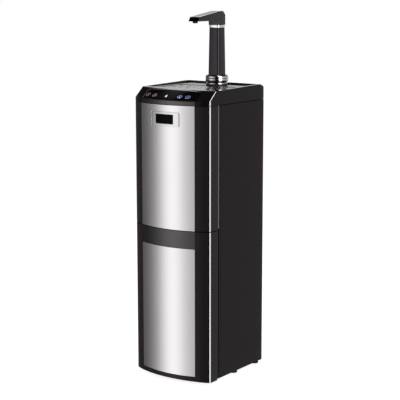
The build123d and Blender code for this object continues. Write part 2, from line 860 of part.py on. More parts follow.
def pipe_down(radius, z0, z1):
    return post(0, tower_y - nozzle_reach, radius, z0, z1)


def spout_nozzle():
    ring = pipe_down(nozzle_radius, arm_bottom - nozzle_height, arm_bottom)
    ring = fillet(ring.edges().sort_by(Axis.Z)[:1], 1)
    return ring - pipe_down(nozzle_bore, arm_bottom - nozzle_height - 1, arm_bottom + 1)


def tower_tubes():
    tubes = []
    low = shank_end - 16
    for x in (-tower_tube_place, tower_tube_place):
        wall = post(x, tower_y, tower_tube_radius, low, head_bottom)
        tubes.append(wall - post(x, tower_y, tower_tube_radius - 1, low - 1, head_bottom + 1))
    return Compound(children=tubes)


# ---- door ----------------------------------------------------------------------------------


def door_frame():
    """Black door moulding with seats for the steel and the band, end walls and hinge bosses."""
    shell = front_shell(door_bottom, split_height, wrap_y)
    inner = bowed_outline(half_width - moulding_wall / 2, wrap_y - 3, moulding_wall - 1, corner_radius - 2)
    floor_z = door_floor
    roof_z = split_height - 2.5 - hinge_plate - door_end_wall
    shell += prism(inner, floor_z, floor_z + door_end_wall)
    shell += prism(inner, roof_z, roof_z + door_end_wall)
    wall = moulding_wall
    for side in (-1, 1):
        left, right = side_by_side(side, half_width - wall - flange_seat, half_width - wall / 2)
        shell += block(left, right, liner_flange_y - 5, liner_flange_y - 2, floor_z, roof_z + 1)
    roof_top = roof_z + door_end_wall
    shell += post(hinge_x, hinge_y, door_boss_radius, floor_z, floor_z + door_boss_length)
    shell += post(hinge_x, hinge_y, door_boss_radius, roof_top - door_boss_length, roof_top)
    shell -= post(hinge_x, hinge_y, pin_radius + pin_clearance, door_bottom, split_height + 1)
    swing = (-half_width - 1, -half_width + moulding_wall + 2, wrap_y - 26, wrap_y + 1)
    shell -= block(*swing, door_bottom - 1, floor_z)
    shell -= block(*swing, roof_z + door_end_wall, split_height + 1)
    steel_seat = steel_thickness - steel_proud + glue_gap
    shell -= insert_seat(steel_bottom - fit_gap, band_bottom + fit_gap, steel_seat)
    band_seat = band_sunk + band_thickness + glue_gap
    shell -= insert_seat(band_bottom + fit_gap, split_height + 1, band_seat)
    half = half_width - toe_corner
    arch = ThreePointArc((-half, 0, door_bottom), (0, 0, door_bottom + toe_arch), (half, 0, door_bottom))
    arch_face = make_face(arch + Line(arch @ 1, arch @ 0))
    shell -= extrude(arch_face, amount=400, both=True)
    return shell


def door_liner():
    """Inner door moulding with a pocket that the bottle's belly reaches into."""
    pocket_half = mouth_half_width - 5
    low, high = mouth_bottom + 4, mouth_top - 17
    flange_half = half_width - moulding_wall - fit_gap
    bottom = door_floor + door_end_wall + 3
    top = split_height - 2.5 - hinge_plate - door_end_wall - 3
    wall = liner_wall
    flange = block(-flange_half, flange_half, liner_flange_y - wall, liner_flange_y, bottom, top)
    floor_y = liner_flange_y - door_pocket_depth
    wide = pocket_half + wall
    tub = block(-wide, wide, floor_y - wall, liner_flange_y, low - wall, high + wall)
    room = block(-pocket_half, pocket_half, floor_y, liner_flange_y + 1, low, high)
    tub = fillet(tub.edges().filter_by(Axis.Y), pocket_corner + wall)
    room = fillet(room.edges().filter_by(Axis.Y), pocket_corner)
    liner = flange + tub - room
    for z in (bottom, top):
        liner -= post(hinge_x, hinge_y, door_boss_radius + fit_gap, z - 20, z + 20)
    return liner - strike_box()


def strike_box():
    x = mouth_half_width + catch_inset
    z = (mouth_bottom + mouth_top) / 2
    half, reach = catch_width / 2, catch_height / 2 + 2
    return block(x - half, x + half, liner_flange_y - strike_sunk, gasket_back_y, z - reach, z + reach)


def door_strike():
    return strike_box()


def door_gasket():
    """Soft sealing ring between the door's lining and the bay frame, broken for the catch."""
    half = mouth_half_width + 1.5
    low, high = mouth_bottom - 10, mouth_top + 1
    wide = half + gasket_width
    outer = block(-wide, wide, liner_flange_y, gasket_back_y, low - gasket_width + 4, high + 4)
    through = (liner_flange_y - 1, gasket_back_y + 1)
    inner = block(-half, half, *through, low + 4, high - gasket_width + 4)
    middle = (mouth_bottom + mouth_top) / 2
    reach = catch_height / 2 + 4
    return outer - inner - block(0, half_width, *through, middle - reach, middle + reach)


# ---- works ---------------------------------------------------------------------------------


def condenser_coil():
    """Serpentine tube behind the cabinet, with both ends led in through the rear panel."""
    y = condenser_y
    inside = rear_panel_y - tube_entry
    reach = riser_x - riser_gap
    points = [(riser_x, inside, riser_top), (riser_x, y, riser_top), (riser_x, y, condenser_bottom)]
    side = -1
    for run in range(condenser_runs - 1):
        z = condenser_bottom + run * condenser_pitch
        points.append((side * reach, y, z))
        points.append((side * reach, y, z + condenser_pitch))
        side = -side
    points.append((-riser_x, y, condenser_top))
    points.append((-riser_x, y, riser_top))
    points.append((-riser_x, inside, riser_top))
    bend = condenser_pitch / 2 - 1
    radii = [tube_bend] * 2 + [bend] * 2 * (condenser_runs - 1) + [tube_bend] * 2
    return tube(points, radii)


def tube(points, radii):
    path = FilletPolyline(*points, radius=radii)
    section = Plane(origin=path @ 0, z_dir=path % 0) * Circle(tube_radius)
    return sweep(section, path)


def condenser_wires():
    wires = []
    y = condenser_y
    low = condenser_bottom - 12
    high = condenser_top + 12
    for index in range(wires_each_side):
        x = (index - (wires_each_side - 1) / 2) * wire_pitch
        wires.append(block(x - wire / 2, x + wire / 2, y - tube_radius - wire, y - tube_radius, low, high))
        wires.append(block(x - wire / 2, x + wire / 2, y + tube_radius, y + tube_radius + wire, low, high))
    return Compound(children=wires)


def compressor():
    """Domed hermetic compressor on its foot plate, with its discharge tube to the condenser."""
    x, y, low = compressor_x, compressor_y, compressor_low
    can = post(x, y, compressor_radius, low + compressor_foot + 1, low + compressor_height)
    can = chamfer(can.edges().filter_by(GeomType.CIRCLE), 18)
    reach = compressor_radius + 10
    half = compressor_foot_half
    foot = block(x - reach, x + reach, y - half, y + half, low, low + compressor_foot)
    foot = fillet(foot.edges().filter_by(Axis.Z), 12)
    rear = rear_panel_y - tube_entry
    back = rear - 14
    route = [(-riser_x, rear, riser_top), (-riser_x, back, riser_top), (stub_x, back, riser_top)]
    route += [(stub_x, back, stub_z), (stub_x, y, stub_z)]
    can += post(x, y, compressor_neck, low + compressor_foot - 1, low + compressor_neck)
    return foot + can + tube(route, [tube_bend] * 3)


def compressor_grommets():
    x, y, low = compressor_x, compressor_y, works_floor
    reach = compressor_radius
    deep = grommet_place
    places = [(x + dx, y + dy) for dx in (-reach, reach) for dy in (-deep, deep)]
    high = low + grommet_height
    return Compound(children=[post(*place, grommet_radius, low, high) for place in places])


def cold_tank():
    x, y, low = cold_tank_x, cold_tank_y, cold_tank_low
    high = low + cold_tank_height
    tank = chamfer(post(x, y, cold_tank_radius, low, high).edges().filter_by(GeomType.CIRCLE), 10)
    tank += post(x, y, tank_neck, high - 5, high + jacket_wall + 3)
    return tank + post(x, y, tank_neck, low - jacket_wall - 5, low + 5)


def tank_jacket():
    """Foam shell round the cold tank, standing on four legs on the shelf."""
    x, y, low = cold_tank_x, cold_tank_y, cold_tank_low
    high = low + cold_tank_height
    jacket = post(x, y, cold_tank_radius + jacket_wall, low - jacket_wall, high + jacket_wall)
    jacket -= post(x, y, cold_tank_radius + fit_gap, low, high)
    jacket -= post(x, y, tank_neck + fit_gap, works_floor, high + jacket_wall + 20)
    top = low - jacket_wall + 5
    half = leg_width / 2
    for px in (x - leg_place, x + leg_place):
        for py in (y - leg_place, y + leg_place):
            jacket += block(px - half, px + half, py - half, py + half, works_floor, top)
    return jacket


def hot_tank():
    x, y, low = hot_tank_x, hot_tank_y, hot_tank_low
    high = low + hot_tank_height
    tank = chamfer(post(x, y, hot_tank_radius, low, high).edges().filter_by(GeomType.CIRCLE), 12)
    tank += post(x, y, 7, high - 5, high + 20)
    tank += block(x - 18, x + 18, y + 30, rear_panel_y, low + 60, low + 90)
    return tank


def water_pump():
    x, y, low = probe_x, probe_y, works_floor
    half = pump_half_width
    body = block(x - half, x + half, y - half - 2, y + half + 2, low + 8, low + 50)
    body = fillet(body.edges().filter_by(Axis.Z), 6)
    body += post(x, y, 18, low + 50, low + pump_height)
    for dx in (-18, 18):
        body += block(x + dx - 4, x + dx + 4, y - 20, y + 20, low, low + 8)
    return body


def probe_hose():
    hose = post(probe_x, probe_y, 4.5, probe_top, works_floor + 8)
    return hose - post(probe_x, probe_y, probe_bore, probe_top - 1, works_floor + 9)


def bottle_probe():
    """Bottle cap with its dip tube, parked in the clips on the lining."""
    x, y, top = probe_x, probe_y, probe_top
    cap = post(x, y, probe_cap_radius, top - 30, top - 6)
    for index in range(16):
        angle = radians(index * 22.5)
        reach = probe_cap_radius + 1
        cap -= post(x + reach * cos(angle), y + reach * sin(angle), 2, top - 31, top - 8)
    cap += post(x, y, 8, top - 6, top)
    tube = post(x, y, probe_radius, bay_floor_top + 40, top - 28)
    return cap + tube - post(x, y, probe_bore, bay_floor_top, top + 1)


def control_box():
    y = side_front_y + control_box_setback
    half = control_box_half_width
    box = block(-half, half, y, y + control_box_depth, works_floor, works_floor + control_box_height)
    box = fillet(box.edges().filter_by(Axis.Z), 4)
    for index in range(8):
        z = shelf_level + 20 + index * 8
        box -= block(-half + 20, half - 20, y - 1, y + 1.5, z, z + 3)
    return box


def filter_drier():
    x, y = riser_x, rear_panel_y - tube_entry
    low = riser_top
    body = post(x, y - 14, 8, low - 40, low + 30)
    body = chamfer(body.edges().filter_by(GeomType.CIRCLE), 4)
    return body + pipe_y(x, low, 3, y - 14, y)


def inlet_gland():
    x, z = inlet_x, inlet_z
    gland = pipe_y(x, z, 13, rear_panel_y + sheet, rear_panel_y + sheet + 6)
    gland += pipe_y(x, z, 8.8, rear_panel_y - 10, rear_panel_y + sheet + 12)
    return gland - pipe_y(x, z, 4, rear_panel_y - 20, rear_panel_y + 40)


def switch_plate():
    x0, x1 = switch_left, switch_right
    z0, z1 = switch_bottom, switch_top
    y = rear_panel_y + sheet
    plate = block(x0 - 4, x1 + 4, y, y + 2, z0 - 4, z1 + 4)
    plate += block(x0 + fit_gap, x1 - fit_gap, y - 16, y, z0 + fit_gap, z1 - fit_gap)
    for x in rocker_places:
        plate -= block(x - 9, x + 9, y - 14, y + 3, z0 + 2, z1 - 2)
    for x in rocker_places:
        plate += pipe_x(x - 9.5, x + 9.5, rocker_y, rocker_z, 1.2)
    return plate


def pipe_x(x0, x1, y, z, radius):
    return Pos(x0, y, z) * Rot(0, 90, 0) * Cylinder(radius, x1 - x0, align=on_foot)


def rocker(x):
    """Rocker key with two faces that meet at a shallow angle over its pivot."""
    y, z = rocker_y, rocker_z
    points = [(y - 4, z - 7), (y + 4.6, z - 9.5), (y + 3.2, z), (y + 6.6, z + 9), (y - 4, z + 7)]
    face = make_face(Plane.YZ * Polyline(*points, close=True))
    key = Pos(x, 0, 0) * extrude(face, amount=8, both=True)
    return key - pipe_x(x - 12, x + 12, y, z, 1.25)


def drain_cap():
    cap = pipe_y(drain_x, drain_z, drain_radius, rear_panel_y + sheet, rear_panel_y + sheet + 12)
    return fillet(cap.edges().sort_by(Axis.Y)[-1:], 1.5)


def cabinet_screws():
    """Pan-head screws on the rear returns and the rear panel."""
    heads = []
    y = rear_panel_y + sheet
    for x in (-half_width + screw_inset, half_width - screw_inset):
        for z in screw_levels:
            heads.append(pipe_y(x, z, screw_radius, y, y + screw_head))
    return Compound(children=heads)


outer = crown_outer()
right_side = side_panel()

nodes = {
    "base_pan": base_pan(),
    "levelling_feet": levelling_feet(),
    "side_panel_right": right_side,
    "side_panel_left": mirror(right_side, Plane.YZ),
    "rear_panel": rear_panel(),
    "mid_shelf": mid_shelf(),
    "bay_frame": bay_frame(),
    "bay_liner": bay_liner(),
    "bay_floor": bay_floor(),
    "hinge_bracket_lower": hinge_bracket(pan_top, True),
    "hinge_bracket_upper": hinge_bracket(shelf_level - hinge_plate, False),
    "magnet_catch": magnet_catch(),
    "upper_front_panel": upper_front_panel(),
    "upper_steel_panel": steel_plate(upper_bottom, side_top),
    "badge_plate": badge_plate(),
    "badge_window": badge_window(),
    "top_cover": top_cover(outer),
    "crown_band": crown_band(),
    "control_panel": control_panel(outer),
    "status_lens": status_lens(),
    "control_board": control_board(),
    "drip_tray": drip_tray(),
    "drip_grille": drip_grille(),
    "tower_gasket": tower_gasket(),
    "tower_base_ring": tower_base_ring(),
    "tower_locknut": tower_locknut(),
    "tower_collar": tower_collar(),
    "tower_column": tower_column(),
    "column_ring": column_ring(),
    "spout_head": spout_head(),
    "spout_nozzle": spout_nozzle(),
    "tower_tubes": tower_tubes(),
    "door_frame": door_frame(),
    "door_steel_panel": steel_plate(steel_bottom, band_bottom),
    "door_band": prism(band_plan(), band_bottom + 2 * band_seam, split_height),
    "door_liner": door_liner(),
    "door_gasket": door_gasket(),
    "door_strike": door_strike(),
    "condenser_coil": condenser_coil(),
    "condenser_wires": condenser_wires(),
    "compressor": compressor(),
    "compressor_grommets": compressor_grommets(),
    "cold_tank": cold_tank(),
    "tank_jacket": tank_jacket(),
    "hot_tank": hot_tank(),
    "water_pump": water_pump(),
    "probe_hose": probe_hose(),
    "bottle_probe": bottle_probe(),
    "control_box": control_box(),
    "filter_drier": filter_drier(),
    "inlet_gland": inlet_gland(),
    "switch_plate": switch_plate(),
    "drain_cap": drain_cap(),
    "cabinet_screws": cabinet_screws(),
}
for name, x in button_places.items():
    nodes[name] = push_button(x)
for name, x in zip(("cold_switch", "hot_switch"), rocker_places):
    nodes[name] = rocker(x)

os.makedirs("parts", exist_ok=True)
for name, shape in nodes.items():
    export_step(shape, f"parts/{name}.step")
print(len(nodes), "nodes")
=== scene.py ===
import bmesh
import bpy
import numpy as np
from itertools import combinations
from math import asin, atan2, cos, degrees, pi, radians, sin, sqrt
from mathutils import Matrix, Vector


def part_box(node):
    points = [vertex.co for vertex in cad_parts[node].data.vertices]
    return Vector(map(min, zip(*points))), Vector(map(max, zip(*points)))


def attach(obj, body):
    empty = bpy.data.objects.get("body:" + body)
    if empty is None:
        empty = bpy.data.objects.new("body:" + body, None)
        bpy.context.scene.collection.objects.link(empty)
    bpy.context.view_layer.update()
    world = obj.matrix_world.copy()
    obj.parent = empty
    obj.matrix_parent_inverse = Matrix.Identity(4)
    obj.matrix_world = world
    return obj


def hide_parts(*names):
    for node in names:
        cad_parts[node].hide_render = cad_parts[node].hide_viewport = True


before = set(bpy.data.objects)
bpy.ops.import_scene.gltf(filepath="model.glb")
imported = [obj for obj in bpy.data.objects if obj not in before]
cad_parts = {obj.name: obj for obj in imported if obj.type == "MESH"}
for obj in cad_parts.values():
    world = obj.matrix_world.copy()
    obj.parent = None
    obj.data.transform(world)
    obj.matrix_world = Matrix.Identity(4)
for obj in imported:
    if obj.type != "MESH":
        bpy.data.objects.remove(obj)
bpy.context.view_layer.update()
print("frame loaded")


def boxOf(node):
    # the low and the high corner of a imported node's box
    return np.array(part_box(node))


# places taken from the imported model
coverLow, coverHigh = boxOf("top_cover")
upperLow, upperHigh = boxOf("upper_front_panel")
doorLow, doorHigh = boxOf("door_frame")
trayLow, trayHigh = boxOf("drip_tray")
gasketLow, gasketHigh = boxOf("tower_gasket")
columnLow, columnHigh = boxOf("tower_column")
towerY = (gasketLow[1] + gasketHigh[1]) / 2

cabinet = dict(
    halfWidth=coverHigh[0],
    rearY=coverHigh[1],
    bow=0.047,  # how far the curved front stands ahead of its corners
    cornerRadius=0.012,
    rearRadius=0.002,
    wall=0.004,
    insertHalf=0.117,
    seatGap=0.0003,
)
cabinet["cornerY"] = coverLow[1] + cabinet["bow"]

# ---- mesh tools


def linked(name, data):
    thing = bpy.data.objects.new(name, data)
    bpy.context.scene.collection.objects.link(thing)
    return thing


def toMesh(name, vertices, faces, sharpAngle=35):
    # points that coincide become one, and edges sharper than the angle stay sharp
    mesh = bpy.data.meshes.new(name)
    points = np.asarray(vertices).reshape(-1, 3).tolist()
    mesh.from_pydata(points, [], [list(map(int, face)) for face in faces])
    work = bmesh.new()
    work.from_mesh(mesh)
    bmesh.ops.remove_doubles(work, verts=work.verts, dist=1e-6)
    bmesh.ops.dissolve_degenerate(work, edges=work.edges, dist=1e-7)
    bmesh.ops.recalc_face_normals(work, faces=work.faces)
    work.to_mesh(mesh)
    work.free()
    mesh.polygons.foreach_set("use_smooth", [True] * len(mesh.polygons))
    mesh.set_sharp_from_angle(angle=radians(sharpAngle))
    return linked(name, mesh)


def gridFaces(rows, columns, closedRows=False, closedColumns=False):
    # each cell joins a point, its right neighbour and the two above them
    r = np.arange(rows if closedRows else rows - 1)[:, None]
    c = np.arange(columns if closedColumns else columns - 1)[None, :]
    up, right = (r + 1) % rows, (c + 1) % columns
    cells = [r * columns + c, r * columns + right, up * columns + right, up * columns + c]
    return np.stack(cells, axis=-1).reshape(-1, 4)


def ringMesh(name, rings, closedRound=True, closedAlong=False, capped=False, sharpAngle=35):
    # rings of equal length, joined one to the next
    grid = np.array(rings)
    rows, columns = grid.shape[:2]
    faces = list(gridFaces(rows, columns, closedAlong, closedRound))
    starts = np.arange(rows) * columns
    if not closedRound:  # a wall along an open path: its two ends are the wall's own section
        faces += [starts, starts[::-1] + columns - 1]
    if capped:
        faces += [np.arange(columns)[::-1], np.arange(columns) + starts[-1]]
    return toMesh(name, grid, faces, sharpAngle)


def rolled(distance, radius):
    # how far a quarter-round edge falls back at a distance from its border
    return radius - np.sqrt(radius**2 - np.clip(radius - distance, 0, radius) ** 2)


def softened(keys, radii, closed=False, steps=4, limit=0.48):
    # a marked ring gives way to a short curve that leaves one radius before it, leans on it, and ends one
    # radius after; no curve takes up more than the limit, as a share of the way to the next ring
    def reach(way, radius):
        length = np.maximum(np.linalg.norm(way, axis=1), 1e-9)
        return way * np.minimum(radius / length, limit)[:, None]

    rings = []
    for index, (key, radius) in enumerate(zip(keys, radii)):
        if radius == 0 or not closed and index in (0, len(keys) - 1):
            rings.append(key)
            continue
        before = reach(keys[index - 1] - key, radius)
        after = reach(keys[(index + 1) % len(keys)] - key, radius)
        for t in np.linspace(0, 1, steps + 1):
            rings.append(key + before * (1 - t) ** 2 + after * t**2)
    return rings


def sheetMesh(name, front, back, sharpAngle=35):
    # two grids of the same size, joined along their four borders
    rows, columns = front.shape[:2]
    total = rows * columns
    index = np.arange(total).reshape(rows, columns)
    cells = gridFaces(rows, columns)
    border = np.concatenate([index[0, :-1], index[:-1, -1], index[-1, :0:-1], index[:0:-1, 0]])
    faces = [*cells, *(cells[:, ::-1] + total)]
    faces += [[b, a, a + total, b + total] for a, b in zip(border, np.roll(border, -1))]
    return toMesh(name, np.concatenate([front.reshape(-1, 3), back.reshape(-1, 3)]), faces, sharpAngle)


def rectRing(low, high, inset, radius, z):
    # a rounded rectangle: eight points to each corner arc
    x0, x1 = low[0] + inset + radius, high[0] - inset - radius
    y0, y1 = low[1] + inset + radius, high[1] - inset - radius
    turn = np.linspace(0, pi / 2, 8)
    arcs = []
    for x, y, start in ((x1, y1, 0), (x0, y1, pi / 2), (x0, y0, pi), (x1, y0, 3 * pi / 2)):
        arcs.append(np.stack([x + radius * np.cos(turn + start), y + radius * np.sin(turn + start)], axis=1))
    points = np.concatenate(arcs)
    return np.column_stack([points, np.full(len(points), z)])


def turned(name, profile, centre=(0.0, 0.0), count=96, closed=False, steps=4, place=None):
    # a profile of radius, height and edge rounding, if any, turned once round an upright axis
    turn = np.linspace(0, 2 * pi, count, endpoint=False)
    keys = []
    for radius, height, *_ in profile:
        radius = max(radius, 1e-7)
        x, y = centre[0] + radius * np.cos(turn), centre[1] + radius * np.sin(turn)
        keys.append(np.stack([x, y, np.full(count, height)], axis=1))
    rings = softened(keys, [sum(row[2:]) for row in profile], closed, steps)
    if place is not None:
        rings = [place(ring) for ring in rings]
    return ringMesh(name, rings, closedAlong=closed)


def dress(thing, body, finish, slotName, *nodes):
    thing.data.materials.append(finishes[finish])
    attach(thing, body)
    if nodes:
        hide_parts(*nodes)
    return thing


def paint(thing, rule, *others):
    # further finishes by a rule on each face's middle, normal and compass direction, 0 to the front and 90 to
    # either side
    for finish in others:
        thing.data.materials.append(finishes[finish])
    for face in thing.data.polygons:
        azimuth = degrees(atan2(abs(face.normal.x), -face.normal.y))
        face.material_index = rule(face.center, face.normal, azimuth)


# ---- plan of the cabinet


def bowCircle(halfWidth, cornerY, bow):
    # the circle through both corners of a bow and its foremost point: radius, and where its centre lies in y
    radius = (halfWidth**2 + bow**2) / (2 * bow)
    return radius, cornerY - bow + radius


frontBow = bowCircle(cabinet["halfWidth"], cabinet["cornerY"], cabinet["bow"])


def bowY(x, inset=0.0, bow=frontBow):
    # how far forward a bowed face lies at x
    radius, centreY = bow
    return centreY - np.sqrt((radius - inset) ** 2 - np.square(x))


def planOf(cornerY, bow, rearY, closedRear, radius=cabinet["cornerRadius"], halfWidth=cabinet["halfWidth"]):
    # the right half runs from the middle of the front to the rear: bow, seat edge, bow, corner arc, side and
    # rear corner; with its mirror image it is one path from the left rear round the front to the right rear
    bowRadius, centreY = bowCircle(halfWidth, cornerY, bow)
    filletX = halfWidth - radius
    filletY = centreY - sqrt((bowRadius - radius) ** 2 - filletX**2)
    tangent = asin(filletX / (bowRadius - radius))
    seat = asin((cabinet["insertHalf"] + cabinet["seatGap"]) / bowRadius)
    rearRadius = cabinet["rearRadius"] if closedRear else 0
    seatPoints, sidePoints = 25, 12

    def arc(turn, x, y, size):
        normals = np.stack([np.sin(turn), -np.cos(turn)], axis=1)
        return np.array([x, y]) + size * normals, normals

    def straight(x, y, normal):
        places = [np.broadcast_to(x, sidePoints), np.broadcast_to(y, sidePoints)]
        return np.stack(places, axis=1), np.tile(normal, (sidePoints, 1))

    along = np.linspace(filletY, rearY - rearRadius, sidePoints + 1)[1:]
    frontTurn = np.concatenate([np.linspace(0, seat, seatPoints), np.linspace(seat, tangent, 10)])
    sections = [
        arc(frontTurn, 0, centreY, bowRadius),
        arc(np.linspace(tangent, pi / 2, 11)[1:], filletX, filletY, radius),
        straight(halfWidth, along, [1.0, 0.0]),
    ]
    if closedRear:
        across = np.linspace(halfWidth - rearRadius, 0, sidePoints + 1)[1:]
        rearTurn = np.linspace(pi / 2, pi, 6)[1:]
        sections.append(arc(rearTurn, halfWidth - rearRadius, rearY - rearRadius, rearRadius))
        sections.append(straight(across, rearY, [0.0, 1.0]))
    points, normals = (np.concatenate(part) for part in zip(*sections))
    inSeat = np.arange(len(points)) < seatPoints
    flip = np.array([-1.0, 1.0])
    left = slice(-2, 0, -1) if closedRear else slice(None, 0, -1)
    return dict(
        points=np.concatenate([(points * flip)[left], points]),
        normals=np.concatenate([(normals * flip)[left], normals]),
        inSeat=np.concatenate([inSeat[left], inSeat]),
    )


def planRing(plan, inset, z):
    # the path moved inwards by inset, at height z; both may change along the path
    inset = np.broadcast_to(np.asarray(inset, float), len(plan["points"]))
    place = plan["points"] - plan["normals"] * inset[:, None]
    height = z(place[:, 1]) if callable(z) else np.broadcast_to(np.asarray(z, float), len(place))
    return np.column_stack([place, height])


def bowedSheet(name, x0, x1, z0, z1, proud, thickness, edge, corner, columns, rows, depth=None):
    # a plate on the bowed front: both faces follow the bow, the front one rolls back along its edges,
    # and rows near the ends are shortened by the corner arc
    halfX, halfZ = (x1 - x0) / 2, (z1 - z0) / 2

    def spaced(half, count):
        inner = np.linspace(-(half - edge), half - edge, count)
        roll = half - edge * (1 - np.sin(np.linspace(0, pi / 2, 5)))
        extra = half - corner * np.array([1, 0.6, 0.3, 0.1])
        return np.unique(np.round(np.concatenate([-roll, -extra, inner, extra, roll]), 9))

    u = spaced(halfX, columns) / halfX
    z = spaced(halfZ, rows)
    cut = rolled(halfZ - np.abs(z), corner)
    gridX = u[None, :] * (halfX - cut)[:, None]
    gridZ = np.repeat(z[:, None], len(u), axis=1)
    toEdge = np.minimum((halfX - cut)[:, None] - np.abs(gridX), halfZ - np.abs(gridZ))
    x = gridX + (x0 + x1) / 2
    height = gridZ + (z0 + z1) / 2
    sink = 0 if depth is None else depth(x, height)
    front = np.stack([x, bowY(x, -proud + rolled(toEdge, edge) + sink), height], axis=-1)
    back = np.stack([x, bowY(x, thickness - proud), height], axis=-1)
    return sheetMesh(name, front, back)


# ---- finishes

finishes = {}


def addNode(tree, kind, sockets=None):
    # a shader node; each socket named takes a value, or a link where the value is another node's output
    node = tree.nodes.new("ShaderNode" + kind)
    for name, value in (sockets or {}).items():
        if isinstance(value, bpy.types.NodeSocket):
            tree.links.new(value, node.inputs[name])
        else:
            node.inputs[name].default_value = value
    return node


def mathNode(tree, operation, *terms):
    node = addNode(tree, "Math", dict(enumerate(terms)))
    node.operation = operation
    return node.outputs[0]


def newFinish(name, color, roughness, metallic=0.0, specular=0.5):
    material = bpy.data.materials.new(name)
    material.use_nodes = True
    sockets = material.node_tree.nodes["Principled BSDF"].inputs
    sockets["Base Color"].default_value = (*color, 1)
    sockets["Roughness"].default_value = roughness
    sockets["Metallic"].default_value = metallic
    sockets["Specular IOR Level"].default_value = specular
    finishes[name] = material
    return material.node_tree, sockets


def noiseOn(tree, scale, detail=3.0, stretch=(1, 1, 1), rough=0.5):
    # noise on object coordinates, with its own stretch along each axis
    place = addNode(tree, "TexCoord").outputs["Object"]
    stretched = addNode(tree, "Mapping", {"Vector": place, "Scale": stretch}).outputs["Vector"]
    sockets = {"Vector": stretched, "Scale": scale, "Detail": detail, "Roughness": rough}
    return addNode(tree, "TexNoise", sockets).outputs["Fac"]


def spread(tree, source, low, high, target):
    # the noise, spread between two values of a socket
    sockets = {"Value": source, "From Min": 0.3, "From Max": 0.7, "To Min": low, "To Max": high}
    tree.links.new(addNode(tree, "MapRange", sockets).outputs["Result"], target)


def tint(tree, source, dark, light, target, margin=0.3):
    # the noise as a colour between two, which it reaches a margin before its ends
    ramp = addNode(tree, "ValToRGB", {"Fac": source})
    for stop, place, color in zip(ramp.color_ramp.elements, (margin, 1 - margin), (dark, light)):
        stop.position = place
        stop.color = (*color, 1)
    tree.links.new(ramp.outputs["Color"], target)


def relief(tree, source, strength, distance):
    bump = addNode(tree, "Bump", {"Strength": strength, "Distance": distance, "Height": source})
    tree.links.new(bump.outputs["Normal"], tree.nodes["Principled BSDF"].inputs["Normal"])


def plastic(name, dark, light, roughness, specular=0.5, grain=2e-5, scale=2600):
    # moulded plastic: faint clouding of colour and gloss, and a fine moulded grain; a single number is a grey
    dark, light = np.broadcast_to(dark, 3), np.broadcast_to(light, 3)
    tree, sockets = newFinish(name, light, roughness, specular=specular)
    tint(tree, noiseOn(tree, 9, 4), dark, light, sockets["Base Color"])
    spread(tree, noiseOn(tree, 35, 5), roughness * 0.82, roughness * 1.18, sockets["Roughness"])
    relief(tree, noiseOn(tree, scale, 2), 0.25, grain)


def brushed(name, dark, light, roughness, stretch=(1, 1, 1), scale=40, depth=1e-5):
    # metal with fine straight brushing: noise drawn out along the brushing, over slow clouds
    tree, sockets = newFinish(name, light, roughness, metallic=1.0)
    hair = noiseOn(tree, scale, 6, stretch, 0.7)
    blend = addNode(tree, "Mix", {"Factor": 0.45, "A": hair, "B": noiseOn(tree, 5.5, 3)})
    tint(tree, blend.outputs["Result"], dark, light, sockets["Base Color"], 0.36)
    spread(tree, hair, roughness * 0.93, roughness * 1.08, sockets["Roughness"])
    relief(tree, hair, 0.3, depth)


